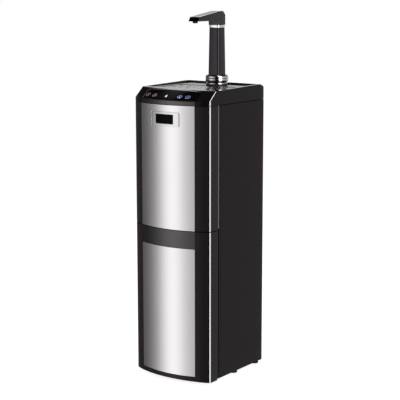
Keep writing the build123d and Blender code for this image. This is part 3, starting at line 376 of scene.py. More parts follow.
# dark and light shade, roughness, specular level, depth of the grain, scale of the grain
plastics = dict(
    frameBlack=((0.0288, 0.0215, 0.0238), (0.0307, 0.023, 0.0254), 0.12, 0.11, 3e-6),
    # painted shade and gloss: near black on corner faces picked by direction, drawing a dark line beside the
    # reflected highlight
    cornerBlack=((0.0009, 0.0008, 0.0009), (0.0013, 0.0012, 0.0013), 0.07, 0.75, 2e-6),
    # painted shade: near black with no gloss, for joints, rolled edges, plate sides and undersides that lie
    # in shade
    seamBlack=(0.0008, 0.0012, 0.9, 0.0),
    crownBlack=((0.0085, 0.0056, 0.0063), (0.0105, 0.0072, 0.0081), 0.12, 0.12, 6e-6),
    deckBlack=((0.004, 0.0038, 0.004), (0.0055, 0.005, 0.0054), 0.09, 0.62, 4e-6),
    windowBlack=((0.0006, 0.0006, 0.0008), (0.0009, 0.0009, 0.0011), 0.1, 0.03, 1e-6),
    panelBlack=((0.0016, 0.0015, 0.0017), (0.0024, 0.0022, 0.0026), 0.06, 0.3, 2e-6),
    towerBlack=((0.028, 0.0225, 0.032), (0.03, 0.0242, 0.034), 0.09, 0.2, 2e-6),
    headBlack=((0.0125, 0.0105, 0.0138), (0.0155, 0.0131, 0.017), 0.16, 0.36, 4e-6),
    tipBlack=(0.0006, 0.001, 0.2, 0.1),
    trayBlack=((0.005, 0.0048, 0.005), (0.009, 0.0085, 0.009), 0.13, 0.33, 6e-6),
    sideSheet=((0.0215, 0.0164, 0.0181), (0.0223, 0.017, 0.0187), 0.4, 0.05, 1e-6, 1500),
    linerGrey=((0.42, 0.42, 0.41), (0.5, 0.5, 0.49), 0.42, 0.5, 4e-5),
    linerDoor=((0.33, 0.33, 0.325), (0.41, 0.41, 0.4), 0.45, 0.5, 4e-5),
    sealRubber=(0.012, 0.022, 0.7, 0.3, 6e-5, 1200),
    footRubber=(0.008, 0.016, 0.6, 0.3, 8e-5, 900),
    magnetDark=(0.03, 0.05, 0.55),
    foamWhite=((0.7, 0.68, 0.62), (0.85, 0.83, 0.78), 0.9, 0.1, 0.0006, 260),
    pumpGrey=((0.12, 0.12, 0.13), (0.18, 0.18, 0.2), 0.5),
    boxBlack=(0.015, 0.03, 0.5),
    hoseClear=((0.5, 0.52, 0.52), (0.62, 0.64, 0.64), 0.3),
    probeWhite=((0.68, 0.68, 0.66), (0.78, 0.78, 0.76), 0.38),
    switchBlack=(0.01, 0.02, 0.4),
    switchRed=((0.35, 0.015, 0.012), (0.45, 0.025, 0.02), 0.28),
    switchGreen=((0.012, 0.16, 0.03), (0.02, 0.22, 0.05), 0.28),
    condenserBlack=(0.008, 0.018, 0.38, 0.5, 4e-5, 700),
    compressorBlack=((0.008, 0.008, 0.009), (0.018, 0.018, 0.019), 0.35, 0.5, 4e-5, 700),
    iconWhite=((0.72, 0.73, 0.75), (0.82, 0.83, 0.85), 0.35),
    iconGrey=((0.16, 0.15, 0.16), (0.21, 0.2, 0.21), 0.35),
    iconRed=((0.4, 0.03, 0.05), (0.5, 0.045, 0.07), 0.3),
    iconLilac=((0.3, 0.2, 0.34), (0.38, 0.27, 0.43), 0.3),
    iconBlue=((0.06, 0.12, 0.5), (0.09, 0.17, 0.64), 0.3),
    iconSky=((0.2, 0.28, 0.62), (0.28, 0.37, 0.78), 0.3),
)
for name, values in plastics.items():
    plastic(name, *values)
# a stronger gloss for the corner finish, which also carries painted shade
finishes["cornerBlack"].node_tree.nodes["Principled BSDF"].inputs["IOR"].default_value = 2.0  # lacquer

# the signs are lit from behind
glows = dict(iconWhite=0.75, iconGrey=0.3, iconRed=0.3, iconLilac=0.3, iconBlue=0.45, iconSky=0.4)
for name, glow in glows.items():
    sockets = finishes[name].node_tree.nodes["Principled BSDF"].inputs
    sockets["Emission Color"].default_value = sockets["Base Color"].default_value
    sockets["Emission Strength"].default_value = glow

# dark and light shade, roughness, stretch along each axis, scale and depth of the brushing
metals = dict(
    steelSheet=((0.57, 0.551, 0.556), (0.596, 0.577, 0.582), 0.26, (1, 1, 0.012), 420, 7e-7),
    bandSteel=((0.062, 0.058, 0.06), (0.08, 0.075, 0.077), 0.28, (0.02, 0.02, 1), 420, 2e-6),
    badgeMetal=((0.535, 0.525, 0.53), (0.575, 0.565, 0.57), 0.3, (1, 1, 0.012), 420, 2e-6),
    collarMetal=((0.34, 0.325, 0.32), (0.42, 0.4, 0.395), 0.13, (0.3, 0.3, 26), 40, 3e-6),
    tankSteel=((0.45, 0.45, 0.45), (0.58, 0.58, 0.58), 0.35, (0.3, 0.3, 20)),
    brightTrim=((0.64, 0.63, 0.63), (0.72, 0.71, 0.71), 0.18, (1, 1, 1), 60, 2e-6),
    screwSteel=((0.45, 0.45, 0.46), (0.6, 0.6, 0.61), 0.3, (1, 1, 1), 200),
    hingeSteel=((0.42, 0.42, 0.41), (0.55, 0.55, 0.54), 0.38, (1, 1, 1), 90),
    copperTube=((0.5, 0.24, 0.13), (0.68, 0.36, 0.22), 0.3, (1, 1, 1), 80),
)
for name, values in metals.items():
    brushed(name, *values)


def zincFinish():
    # galvanised sheet: large flat crystals that each catch the light a little differently
    tree, sockets = newFinish("zincSheet", (0.36, 0.37, 0.38), 0.42, metallic=0.75)
    place = addNode(tree, "TexCoord").outputs["Object"]
    cells = addNode(tree, "TexVoronoi", {"Vector": place, "Scale": 85, "Randomness": 1})
    tint(tree, cells.outputs["Color"], (0.25, 0.26, 0.27), (0.4, 0.41, 0.42), sockets["Base Color"], 0)
    spread(tree, noiseOn(tree, 120, 3), 0.34, 0.5, sockets["Roughness"])


zincFinish()
print("finishes made:", len(finishes))

# ---- upper front and door

moulding = dict(
    edge=0.0009, innerEdge=0.0006, steelSeat=0.0011, bandSeat=0.0026, doorEnd=0.0012, upperEnd=0.0026,
    glossShadeFrom=31, glossShadeTo=72,  # compass directions between which a front corner is glossy and near black as painted shade
    plateEdge=26,  # and from which a bowed plate's face is its upright edge
)


def wrapPlan(rearY, closeEnds):
    # open path round the front, with three extra points at each end where the wall rolls off
    plan = planOf(cabinet["cornerY"], cabinet["bow"], rearY, False)
    points, normals = plan["points"], plan["normals"]
    ahead = np.array([0, 1.0]) * (closeEnds * np.array([0.0, 0.12, 0.35, 0.65]))[:, None]
    plan["points"] = np.concatenate([points[0] - ahead, points[1:-1], points[-1] - ahead[::-1]])
    firstWay, lastWay = np.tile(normals[0], (4, 1)), np.tile(normals[-1], (4, 1))
    plan["normals"] = np.concatenate([firstWay, normals[1:-1], lastWay])
    plan["inSeat"] = np.concatenate([[False] * 4, plan["inSeat"][1:-1], [False] * 4])
    fromEnd = np.abs(plan["points"][:, 1] - rearY)
    onSide = np.abs(plan["normals"][:, 0]) > 0.99
    plan["endRoll"] = rolled(fromEnd, closeEnds) * onSide
    return plan


def cornerRule(middle, normal, azimuth):
    # the rounded front corners get the glossy corner finish, near black as painted shade, and the upper and
    # lower edges the painted shade finish
    return 2 if abs(normal.z) > 0.3 else int(moulding["glossShadeFrom"] < azimuth < moulding["glossShadeTo"])


def frontShell(name, body, node, plan, levels):
    # a wall round the front, as one closed section: outer face with its seats, top, inner face and bottom
    keys = [planRing(plan, np.where(plan["inSeat"], seat, 0) + plan["endRoll"], z) for z, seat, _ in levels]
    inner = cabinet["wall"] - plan["endRoll"] * 0.5
    keys += [planRing(plan, inner, levels[-1][0]), planRing(plan, inner, levels[0][0])]
    radii = [radius for _, _, radius in levels] + [moulding["innerEdge"]] * 2
    shell = ringMesh(name, softened(keys, radii, closed=True, steps=3), closedRound=False, closedAlong=True)
    dress(shell, body, "frameBlack", "frame_black", node)
    paint(shell, cornerRule, "cornerBlack", "seamBlack")


def toeArch(plan, z, rise=0.004):
    # the lower edge lifts in a shallow parabola across the front
    share = plan["points"][:, 0] / (cabinet["halfWidth"] - 0.015)
    onFront = plan["points"][:, 1] < cabinet["cornerY"] + 0.005
    return z + rise * np.clip(1 - share**2, 0, 1) * onFront


upperPlan = wrapPlan(upperHigh[1] - 0.001, moulding["upperEnd"])
edge, steelSeat, bandSeat = moulding["edge"], moulding["steelSeat"], moulding["bandSeat"]
upperLevels = [(upperLow[2], steelSeat, edge), (upperHigh[2], steelSeat, edge)]
frontShell("upperMoulding", "cabinet", "upper_front_panel", upperPlan, upperLevels)

doorRear = doorHigh[1]
doorPlan = wrapPlan(doorRear, moulding["doorEnd"])
steelLow, steelHigh = boxOf("door_steel_panel")
seatTop = steelHigh[2] + cabinet["seatGap"]
seatBottom = steelLow[2] - cabinet["seatGap"]
doorLevels = [
    (toeArch(doorPlan, doorLow[2]), 0, edge), (seatBottom, 0, 0), (seatBottom, steelSeat, 0),
    (seatTop, steelSeat, 0), (seatTop, bandSeat, 0), (doorHigh[2], bandSeat, edge),
]
frontShell("doorMoulding", "door", "door_frame", doorPlan, doorLevels)

# flat webs that close the hollows of the front mouldings
for name, z, body, rearY in (
    ("doorFloor", doorLow[2] + 0.009, "door", doorRear - 0.003),
    ("doorRoof", doorHigh[2] - 0.0085, "door", doorRear - 0.003),
    ("upperFloor", upperLow[2] + 0.001, "cabinet", doorRear + 0.003),
):
    plan = planOf(cabinet["cornerY"], cabinet["bow"], rearY, False)
    keys = [planRing(plan, cabinet["wall"] - 0.001, height) for height in (z, z + 0.003)]
    dress(ringMesh(name, keys, capped=True), body, "frameBlack", "frame_black")

# upright strips in the near-black painted shade finish that close the joints between the upper moulding and
# the side sheets
stripLow, stripHigh = (0.149, upperHigh[1] - 0.004), (0.1652, upperHigh[1] - 0.0002)
for name, side in (("seamStripRight", 1), ("seamStripLeft", -1)):
    keys = [
        rectRing(stripLow, stripHigh, 0, 0.0005, z) * (side, 1, 1)
        for z in (upperLow[2] + 0.001, upperHigh[2] - 0.0005)
    ]
    dress(ringMesh(name, keys, capped=True), "cabinet", "seamBlack", "frame_black")


def edgeRule(middle, normal, azimuth):
    # painted shade: the upright edges of a bowed plate, which lie in the shadow of their seat, get the
    # near-black shade finish
    return int(azimuth > moulding["plateEdge"])


steelPlate = dict(proud=0.0006, thickness=0.0016, edge=0.00025, corner=0.0015, columns=90, rows=60)
bandPlate = dict(proud=-0.0007, thickness=0.0018, edge=0.0005, corner=0.0008, columns=90, rows=12)
for name, node, body, finish, sizes in (
    ("upperSteel", "upper_steel_panel", "cabinet", "steelSheet", steelPlate),
    ("doorSteel", "door_steel_panel", "door", "steelSheet", steelPlate),
    ("crownBand", "crown_band", "cabinet", "bandSteel", bandPlate),
    ("doorBand", "door_band", "door", "bandSteel", bandPlate),
):
    low, high = boxOf(node)
    plate = bowedSheet(name, -cabinet["insertHalf"], cabinet["insertHalf"], low[2], high[2], **sizes)
    dress(plate, body, finish, "steel_sheet", node)
    if finish == "steelSheet":
        # painted shade on the plate's upright edges
        paint(plate, edgeRule, "seamBlack")
print("front mouldings and steel made")


def badgePieces():
    # a raised plate, a bar beside it and a dark window sunk in the plate, all plates on the bowed front
    low, high = boxOf("badge_plate")
    windowLow, windowHigh = boxOf("badge_window")
    sizes = dict(proud=0.0028, thickness=0.0022)
    barWidth, barGap = 0.003, 0.0025

    def sunk(x, z):
        # the plate gives way behind the window, with a small step round it
        acrossWindow = np.minimum(x - windowLow[0], windowHigh[0] - x)
        inside = np.minimum(acrossWindow, np.minimum(z - windowLow[2], windowHigh[2] - z))
        return np.where(inside > -0.0004, 0.0012, 0)

    left = low[0] + barWidth + barGap
    plate = bowedSheet(
        "badgePlate", left, high[0], low[2], high[2] - 0.001,
        edge=0.0007, corner=0.004, columns=160, rows=80, depth=sunk, **sizes,
    )
    dress(plate, "cabinet", "badgeMetal", "badge_metal", "badge_plate")
    # painted shade on the plate's upright edges
    paint(plate, edgeRule, "seamBlack")
    bar = bowedSheet(
        "badgeBar", low[0], low[0] + barWidth, low[2] + 0.001, high[2],
        edge=0.001, corner=0.0012, columns=6, rows=30, **sizes,
    )
    dress(bar, "cabinet", "badgeMetal", "badge_metal")
    window = bowedSheet(
        "badgeWindow", windowLow[0], windowHigh[0], windowLow[2], windowHigh[2],
        proud=0.0032, thickness=0.0022, edge=0.0005, corner=0.0035, columns=40, rows=20,
    )
    dress(window, "cabinet", "windowBlack", "panel_black", "badge_window")


badgePieces()

# ---- crown

crown = dict(
    setback=0.044,  # how far the slanted fascia leans back at the corners
    glossShadeFrom=25,
    upperBow=0.008,
    footHeight=0.015,
    fall=0.0055,
    rearRound=0.018,
    rim=0.011,
    rearRim=0.0125,
    deckDrop=0.008,
    bandSeat=0.0026,
    panelDrop=0.0034,
    panelStart=0.004,
    edge=0.0035,
    lipDrop=0.0025,
)
deckTop = coverHigh[2]
deckLevel = deckTop - crown["deckDrop"]
crownFoot = upperHigh[2] + 0.001
fasciaFoot = crownFoot + crown["footHeight"]
rimFront = cabinet["cornerY"] + crown["setback"]
crownBow = bowCircle(cabinet["halfWidth"], rimFront, crown["upperBow"])


def rimHeight(y):
    # the rim climbs gently to the rear and then rounds off in a quarter circle
    start = cabinet["rearY"] - crown["rearRound"]
    front = rimFront - crown["upperBow"]
    rising = deckTop - crown["fall"] * np.clip((start - y) / (start - front), 0, 2)
    over = np.clip(y - start, 0, crown["rearRound"])
    return rising - (crown["rearRound"] - np.sqrt(crown["rearRound"] ** 2 - over**2))


def crownRule(middle, normal, azimuth):
    # glossy on the deck and round it, painted shade on the faces below, and at the front corners glossy and
    # near black as painted shade
    inward = abs(middle.x) < cabinet["halfWidth"] - 0.004 and middle.y > cabinet["cornerY"] + 0.04
    if normal.z > 0.96 or inward and fasciaFoot + 0.001 < middle.z < deckLevel + 0.0005:
        return 1
    if normal.z < -0.3:
        return 3
    atCorner = abs(middle.x) > 0.155 and middle.y < 0 and crown["glossShadeFrom"] < azimuth < moulding["glossShadeTo"]
    return 2 if atCorner and normal.z < 0.78 else 0


def crownShell():
    # lower and upper outlines of the crown joined by straight rulings, then rim, sunk deck and tray opening
    rearY, half = cabinet["rearY"], cabinet["halfWidth"]
    lower = planOf(cabinet["cornerY"], cabinet["bow"], rearY, True)
    upper = planOf(rimFront, crown["upperBow"], rearY, True)
    pocket = planOf(rimFront + crown["rim"], 1e-4, rearY - crown["rearRim"], True, 0.008, half - crown["rim"])
    opening = planOf(trayLow[1], 1e-4, trayHigh[1], True, 0.0012, trayHigh[0])
    seat = np.where(lower["inSeat"], crown["bandSeat"], 0)
    upperRing = planRing(upper, 0, rimHeight)
    pocketRing = planRing(pocket, 0, rimHeight)
    lowerRing = planRing(lower, 0, fasciaFoot)
    # where each ruling meets the falling rim
    share = ((upperRing[:, 2] - fasciaFoot) / (deckTop - fasciaFoot))[:, None]
    crease = lowerRing + (planRing(upper, 0, deckTop) - lowerRing) * share
    crease[:, 2] = np.minimum(crease[:, 2], rimHeight(crease[:, 1]))
    # inside the joint under the crown a lip reaches down behind the walls below
    lip, lipInner = cabinet["wall"] + 0.0006, cabinet["wall"] + 0.0022
    keys = [
        planRing(lower, lipInner, crownFoot - crown["lipDrop"]),
        planRing(lower, lip, crownFoot - crown["lipDrop"]),
        planRing(lower, lip, crownFoot),
        planRing(lower, seat, crownFoot),
        planRing(lower, seat, fasciaFoot - 0.0002),
        planRing(lower, 0, fasciaFoot - 0.0001),
        lowerRing,
        crease,
    ]
    for part in (0.12, 0.3, 0.55, 0.8):
        ring = crease + (pocketRing - crease) * part
        ring[:, 2] = rimHeight(ring[:, 1])
        keys.append(ring)
    keys += [
        pocketRing,
        planRing(pocket, 0.0008, deckLevel),
        planRing(opening, -0.0003, deckLevel),
        planRing(opening, -0.0003, trayLow[2] + 0.012),
        planRing(lower, lipInner, fasciaFoot),
    ]
    radii = [0, 0, 0, 0.0006, 0, 0, 0.0015, crown["edge"], 0, 0, 0, 0, 0.0016, 0.0014, 0.0008, 0, 0]
    rings = softened(keys, radii, closed=True, steps=5)
    cover = ringMesh("crownCover", rings, closedAlong=True, sharpAngle=30)
    dress(cover, "cabinet", "crownBlack", "deck_black", "top_cover")
    paint(cover, crownRule, "deckBlack", "cornerBlack", "seamBlack")


crownShell()


def fasciaPoint(x, share):
    # a point on the ruled fascia, a share of the way up between its two bows, and the outward direction there
    x = np.asarray(x, float)
    lowY, highY = bowY(x), bowY(x, 0, crownBow)
    y = lowY + (highY - lowY) * share
    z = fasciaFoot + (deckTop - fasciaFoot) * share
    rise, run = deckTop - fasciaFoot, highY - lowY
    lean = (1 - share) * x / np.sqrt(frontBow[0] ** 2 - x**2) + share * x / np.sqrt(crownBow[0] ** 2 - x**2)
    normal = np.stack([lean * rise, -rise * np.ones_like(x), run], axis=-1)
    normal /= np.linalg.norm(normal, axis=-1, keepdims=True)
    return np.stack([x, y, z * np.ones_like(x)], axis=-1), normal


def controlPanel():
    # a thin gloss panel laid on the fascia, following its rulings, with rolled edges
    half = cabinet["insertHalf"]
    xs = np.concatenate([[-half], np.linspace(-half + 0.0006, half - 0.0006, 91), [half]])
    gridX, gridT = np.meshgrid(xs, np.linspace(0, 1, 22))
    lowY, highY = bowY(gridX), bowY(gridX, 0, crownBow)
    startY, endY = lowY + crown["panelStart"], boxOf("control_panel")[1][1]
    y = startY + (endY - startY) * gridT
    points, normals = fasciaPoint(gridX, (y - lowY) / (highY - lowY))
    inner = (gridT > 0.001) & (gridT < 0.999) & (np.abs(gridX) < half - 0.0001)
    lift = np.where(inner, 0.00022, -0.0002)[..., None]
    plate = sheetMesh("controlPanel", points + normals * lift, points - normals * crown["panelDrop"], 40)
    dress(plate, "cabinet", "panelBlack", "panel_black", "control_panel")


controlPanel()
print("crown made")

# ---- buttons and symbols


def onFascia(x, share=0.3):
    # local axes of a round key: across the fascia, up the fascia, and out of it
    point, normal = (row[0] for row in fasciaPoint(np.array([x]), share))
    up = np.array([0, 0, 1.0]) - normal * normal[2]
    up /= np.linalg.norm(up)
    across = np.cross(up, normal)
    return lambda ring: point + ring[:, :1] * across + ring[:, 1:2] * up + ring[:, 2:] * normal


def flatShape(name, outlinePoints, height, thickness, place):
    # a small flat symbol: its outline at two heights, closed on both sides
    points = np.asarray(outlinePoints, float)
    low = np.column_stack([points, np.full(len(points), height)])
    high = np.column_stack([points * 0.985, np.full(len(points), height + thickness)])
    return ringMesh(name, [place(low), place(high)], capped=True)


def dropOutline(size):
    # a circle whose upper half is drawn up to a point
    turn = np.linspace(0, 2 * pi, 40, endpoint=False)
    lift = np.clip(np.sin(turn), 0, 1) ** 3
    return np.column_stack([np.cos(turn) * (1 - 0.55 * lift), np.sin(turn) + 0.9 * lift - 0.25]) * size


def flameOutline(size):
    # a drop whose tip leans to one side
    points = dropOutline(size)
    lean = np.clip(points[:, 1], 0, None) / size
    points[:, 0] += size * 0.35 * np.sin(lean * 2.2)
    return points


def barOutline(width, height, middleX=0.0, middleY=0.0):
    # a bar with round ends
    turn = np.linspace(0, pi, 9)
    radius = width / 2
    top = np.column_stack([radius * np.cos(turn), height / 2 - radius + radius * np.sin(turn)])
    return np.concatenate([top, -top]) + [middleX, middleY]


cup = [
    (-0.7, 0.8), (-0.45, -0.9), (0.45, -0.9), (0.7, 0.8),
    (0.48, 0.8), (0.3, -0.65), (-0.3, -0.65), (-0.48, 0.8),
]
buttons = dict(
    heat_button=dict(
        x=-0.097, ring="iconGrey", mark="iconGrey", slot="button_grey", shape="waves",
        outlines=[barOutline(0.001, 0.008, step * 0.0026, 0) for step in (-1, 0, 1)],
    ),
    hot_button=dict(
        x=-0.063, ring="iconLilac", mark="iconRed", slot="button_red", shape="flame",
        outlines=[flameOutline(0.003)],
    ),
    room_button=dict(
        x=0.049, ring="iconSky", mark="iconWhite", slot="panel_black", shape="cup",
        outlines=[np.array(cup) * 0.0036, barOutline(0.0009, 0.004, 0.0002, 0.0004)],
    ),
    cold_button=dict(
        x=0.080, ring="iconSky", mark="iconBlue", slot="button_blue", shape="drop",
        outlines=[dropOutline(0.0029)],
    ),
)
key = dict(radius=0.0098, proud=0.0005, back=-0.0046, flange=0.0114, flangeTop=-0.0034)
keyProfile = [
    (0, key["proud"] - 0.0004), (key["radius"] * 0.6, key["proud"] - 0.0003, 0.002),
    (key["radius"], key["proud"], 0.0005), (key["radius"], key["flangeTop"]),
    (key["flange"], key["flangeTop"], 0.0002), (key["flange"], key["back"], 0.0002), (0, key["back"]),
]
ringProfile = [(0.0077, 0.00012), (0.0077, 0.00062, 0.0002), (0.0092, 0.00072, 0.0002), (0.0092, 0.0002)]
for node, row in buttons.items():
    place, label = onFascia(row["x"]), node.split("_")[0]
    dress(turned(label + "Key", keyProfile, count=64, place=place), node, "panelBlack", row["slot"], node)
    ring = turned(label + "Ring", ringProfile, count=64, closed=True, place=place)
    dress(ring, node, row["ring"], row["slot"])
    for index, outline in enumerate(row["outlines"]):
        mark = flatShape(f"{row['shape']}Mark{index}", outline, 0.00005, 0.0003, place)
        dress(mark, node, row["mark"], row["slot"])


def boreFascia():
    # every key stands in a bore through panel and cover, which is wider behind the panel for the key's flange
    radius, wide = 0.0101, 0.0118
    top, step, floor = 0.003, -0.0031, -0.0085
    profile = [(0, top), (radius, top), (radius, step), (wide, step), (wide, floor), (0, floor)]
    places = {node: onFascia(row["x"]) for node, row in buttons.items()}
    cutters = [turned(f"{node}Bore", profile, count=64, place=place) for node, place in places.items()]
    for name, sharpAngle in (("crownCover", 30), ("controlPanel", 40)):
        thing = bpy.data.objects[name]
        for cutter in cutters:
            cut = thing.modifiers.new("bore", "BOOLEAN")
            cut.operation, cut.solver, cut.object = "DIFFERENCE", "EXACT", cutter
        bpy.context.view_layer.update()
        mesh = bpy.data.meshes.new_from_object(thing.evaluated_get(bpy.context.evaluated_depsgraph_get()))
        thing.modifiers.clear()
        thing.data = mesh
        mesh.set_sharp_from_angle(angle=radians(sharpAngle))
        print(name, "bored, faces:", len(mesh.polygons))
    for cutter in cutters:
        bpy.data.objects.remove(cutter)


boreFascia()

lensPlace = onFascia(-0.008)
lensProfile = [(0, 0.0003), (0.0046, 0.0002, 0.0006), (0.0049, -0.0025), (0, -0.0025)]
lens = turned("statusLens", lensProfile, count=48, place=lensPlace)
dress(lens, "cabinet", "panelBlack", "lens_clear", "status_lens")
for name, points in (
    ("lampMarkTop", dropOutline(0.003) + [-0.0012, 0.0036]),
    ("lampMarkFoot", barOutline(0.0078, 0.0066, 0.0008, -0.0032)),
):
    dress(flatShape(name, points, 0.0003, 0.0002, lensPlace), "cabinet", "iconWhite", "lens_clear")
print("buttons made")

# ---- drip tray and grille


def trayPieces():
    # the tray with its lip, and a shallow pan under it that closes the opening in the deck
    low, high = trayLow, trayHigh
    top, lip, wall, panWall = high[2], 0.006, 0.002, 0.002
    keys = [
        rectRing(low, high, lip + wall + 0.004, 0.004, low[2] + wall),
        rectRing(low, high, lip + wall, 0.004, top),
        rectRing(low, high, 0, 0.001, top),
        rectRing(low, high, 0, 0.001, top - 0.0015),
        rectRing(low, high, lip, 0.006, top - 0.0015),
        rectRing(low, high, lip + 0.002, 0.006, low[2]),
    ]
    tray = ringMesh("dripTray", softened(keys, [0, 0.0008, 0.0004, 0.0004, 0.0003, 0.002]), capped=True)
    dress(tray, "tray", "trayBlack", "tray_black", "drip_tray")
    floor, rim, gap = low[2] - 0.0012, low[2] + 0.0125, 0.0004
    keys = [
        rectRing(low, high, -panWall, 0.004, floor - 0.0015),
        rectRing(low, high, -panWall, 0.004, rim),
        rectRing(low, high, -gap, 0.003, rim),
        rectRing(low, high, -gap, 0.003, floor),
    ]
    dress(ringMesh("recessPan", keys, capped=True), "cabinet", "crownBlack", "deck_black")


trayPieces()

grille = dict(
    pitch=0.027, hole=0.0075, smallHole=0.004, border=0.013, edge=0.0006, rimHeight=0.0006, rimWidth=0.0026,
    # shares of the rim's width and height, from its foot to the hole
    rim=((0.75, 0.55), (0.5, 0.08), (0.28, 0), (0.1, 0.35), (0, 1.6)),
)


def grilleCentres():
    # staggered rows of holes, every third one small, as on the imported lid
    pitch, margin = grille["pitch"], 2 * grille["border"]
    front, back, half = trayLow[1] + 0.0003, trayHigh[1] - 0.0003, trayHigh[0] - 0.0003
    rowStep = pitch * sqrt(3) / 2
    rows = int((back - front - margin) // rowStep) + 1
    columns = int((2 * half - margin) // pitch) + 1
    centres = []
    for row in range(rows):
        y = (front + back) / 2 + (row - (rows - 1) / 2) * rowStep
        shift = pitch / 2 if row % 2 else 0
        for column in range(columns - row % 2):
            x = (column - (columns - 1) / 2) * pitch + shift
            centres.append((x, y, grille["smallHole"] if (row + 2 * column) % 3 == 0 else grille["hole"]))
    return np.array(centres)


def dripGrille():
    # every hole owns the part of the lid that is nearest to it; along each direction from a hole's middle the
    # surface runs from that border over a low raised rim and down through the hole
    centres = grilleCentres()
    low, high = boxOf("drip_grille")
    top, bottom, edge, raised = high[2], low[2], grille["edge"], grille["rimHeight"]
    vertices, faces = [], []
    for x, y, radius in centres:
        away = centres[:, :2] - [x, y]
        far = np.linalg.norm(away, axis=1)
        near = (far > 1e-6) & (far < grille["pitch"] * 1.9)
        toEdge = [high[0] - edge - x, x - low[0] - edge, high[1] - edge - y, y - low[1] - edge]
        directions = np.concatenate([away[near] / far[near, None], [(1, 0), (-1, 0), (0, 1), (0, -1)]])
        distances = np.concatenate([far[near] / 2, toEdge])
        turns = [np.linspace(0, 2 * pi, 48, endpoint=False)]
        for pair in map(list, combinations(range(len(distances)), 2)):
            if abs(np.linalg.det(directions[pair])) < 1e-6:
                continue
            corner = np.linalg.solve(directions[pair], distances[pair])
            if np.all(directions @ corner <= distances + 1e-9):
                turns.append([atan2(corner[1], corner[0]) % (2 * pi)])
        turn = np.unique(np.round(np.concatenate(turns), 7))
        ray = np.stack([np.cos(turn), np.sin(turn)], axis=1)
        along = ray @ directions.T
        reach = np.min(np.where(along > 1e-9, distances / np.maximum(along, 1e-9), np.inf), axis=1)
        rimStart = np.minimum(radius + grille["rimWidth"], reach * 0.96)
        slope = rimStart + (reach - rimStart) * 0.3
        rows = [(reach, top - raised), (slope, top - raised), (rimStart, top - raised)]
        rows += [(radius + (rimStart - radius) * share, top - raised * drop) for share, drop in grille["rim"]]
        rows += [(np.full(len(turn), radius), bottom), (reach, bottom)]
        start = sum(map(len, vertices))
        block = [
            np.column_stack([x + ray[:, 0] * r, y + ray[:, 1] * r, np.full(len(turn), z)]) for r, z in rows
        ]
        vertices.append(np.concatenate(block))
        faces += list(gridFaces(len(rows), len(turn), closedColumns=True) + start)
    lid = toMesh("grilleTop", np.concatenate(vertices), faces, 40)
    dress(lid, "grille", "trayBlack", "tray_black", "drip_grille")
    keys = [
        rectRing(low, high, edge, 0.0008, bottom),
        rectRing(low, high, 0, 0.0012, bottom),
        rectRing(low, high, 0, 0.0012, top - 0.0002),
        rectRing(low, high, edge, 0.0008, top - raised),
    ]
    rings = softened(keys, [0, 0.0003, 0.0004, 0], closed=True, steps=3)
    dress(ringMesh("grilleEdge", rings, closedAlong=True), "grille", "trayBlack", "tray_black")


dripGrille()
print("tray and grille made")

# ---- tower

axis = (0.0, towerY)


def towerRing(size, z, corner=0.008, bow=0.0014):
    # a square plan with slightly bowed sides and round corners
    half = size / 2
    turn = np.linspace(0, pi / 2, 9)[1:-1]
    reach = half - bow
    bowRadius = (reach**2 + bow**2) / (2 * bow)
    along = np.linspace(-(reach - corner), reach - corner, 17)
    out = half - (bowRadius - np.sqrt(bowRadius**2 - along**2))
    arc = [out[-1] - corner + corner * np.cos(turn), reach - corner + corner * np.sin(turn)]
    x, y = np.concatenate([[out, along], arc], axis=1)
    quarters = [(cos(quarter * pi / 2), sin(quarter * pi / 2)) for quarter in range(4)]
    points = np.concatenate([np.stack([x * c - y * s, x * s + y * c], axis=1) for c, s in quarters]) + axis
    return np.column_stack([points, np.full(len(points), z)])


def collarPieces():
    # a barrel with soft shoulders, a fine groove and a stem below; under it the fixed ring and its gasket
    high, full = columnLow[2], boxOf("tower_collar")[1][0]
    stem, stemFoot = 0.01095, deckLevel - 0.039
    bore, shank, shankFoot = 0.011, 0.015, deckLevel - 0.034
    barrel = [
        (0.008, high), (full - 0.0045, high, 0.0012), (full - 0.0012, high - 0.003, 0.0016),
        (full, high - 0.0066, 0.0015), (full, high - 0.0125, 0.0003), (full - 0.0007, high - 0.0129),
        (full - 0.0007, high - 0.0133), (full, high - 0.0137, 0.0003), (full, high - 0.0222, 0.0012),
        (full - 0.0016, high - 0.0247, 0.001), (full - 0.006, high - 0.026, 0.0004), (stem, high - 0.026),
        (stem, stemFoot, 0.0006), (0.007, stemFoot), (0.007, high),
    ]
    base = [
        (shank + 0.0001, deckLevel + 0.003), (0.0385, deckLevel + 0.003, 0.0006),
        (0.0395, deckLevel + 0.0048, 0.0008), (0.0392, deckLevel + 0.0082, 0.0012),
        (0.0368, deckLevel + 0.0113, 0.001), (bore, deckLevel + 0.0115), (bore, shankFoot),
        (shank, shankFoot, 0.0006),
    ]
    seal = [
        (0.0153, deckLevel), (0.041, deckLevel, 0.0004), (0.0405, deckLevel + 0.003, 0.001),
        (0.0153, deckLevel + 0.003),
    ]
    collar = turned("collarBarrel", barrel, axis, 128, closed=True, steps=3)
    dress(collar, "tower", "collarMetal", "collar_metal", "tower_collar")
    ring = turned("towerBase", base, axis, 128, closed=True, steps=3)
    dress(ring, "cabinet", "collarMetal", "tower_black", "tower_base_ring")
    gasket = turned("towerGasket", seal, axis, 96, closed=True)
    dress(gasket, "cabinet", "sealRubber", "seal_rubber", "tower_gasket")


collarPieces()


def squareTube(name, levels, steps, finish, slotName, node):
    # rows of size, height and rounding, if any, on the square plan, closed by a square bore
    bore = dict(size=0.030, corner=0.004, bow=0.0002)
    outer = [towerRing(size, z) for size, z, *_ in levels]
    keys = [towerRing(z=levels[0][1], **bore), *outer, towerRing(z=levels[-1][1], **bore)]
    radii = [0, *(sum(level[2:]) for level in levels), 0]
    tube = ringMesh(name, softened(keys, radii, closed=True, steps=steps), closedAlong=True)
    dress(tube, "tower", finish, slotName, node)


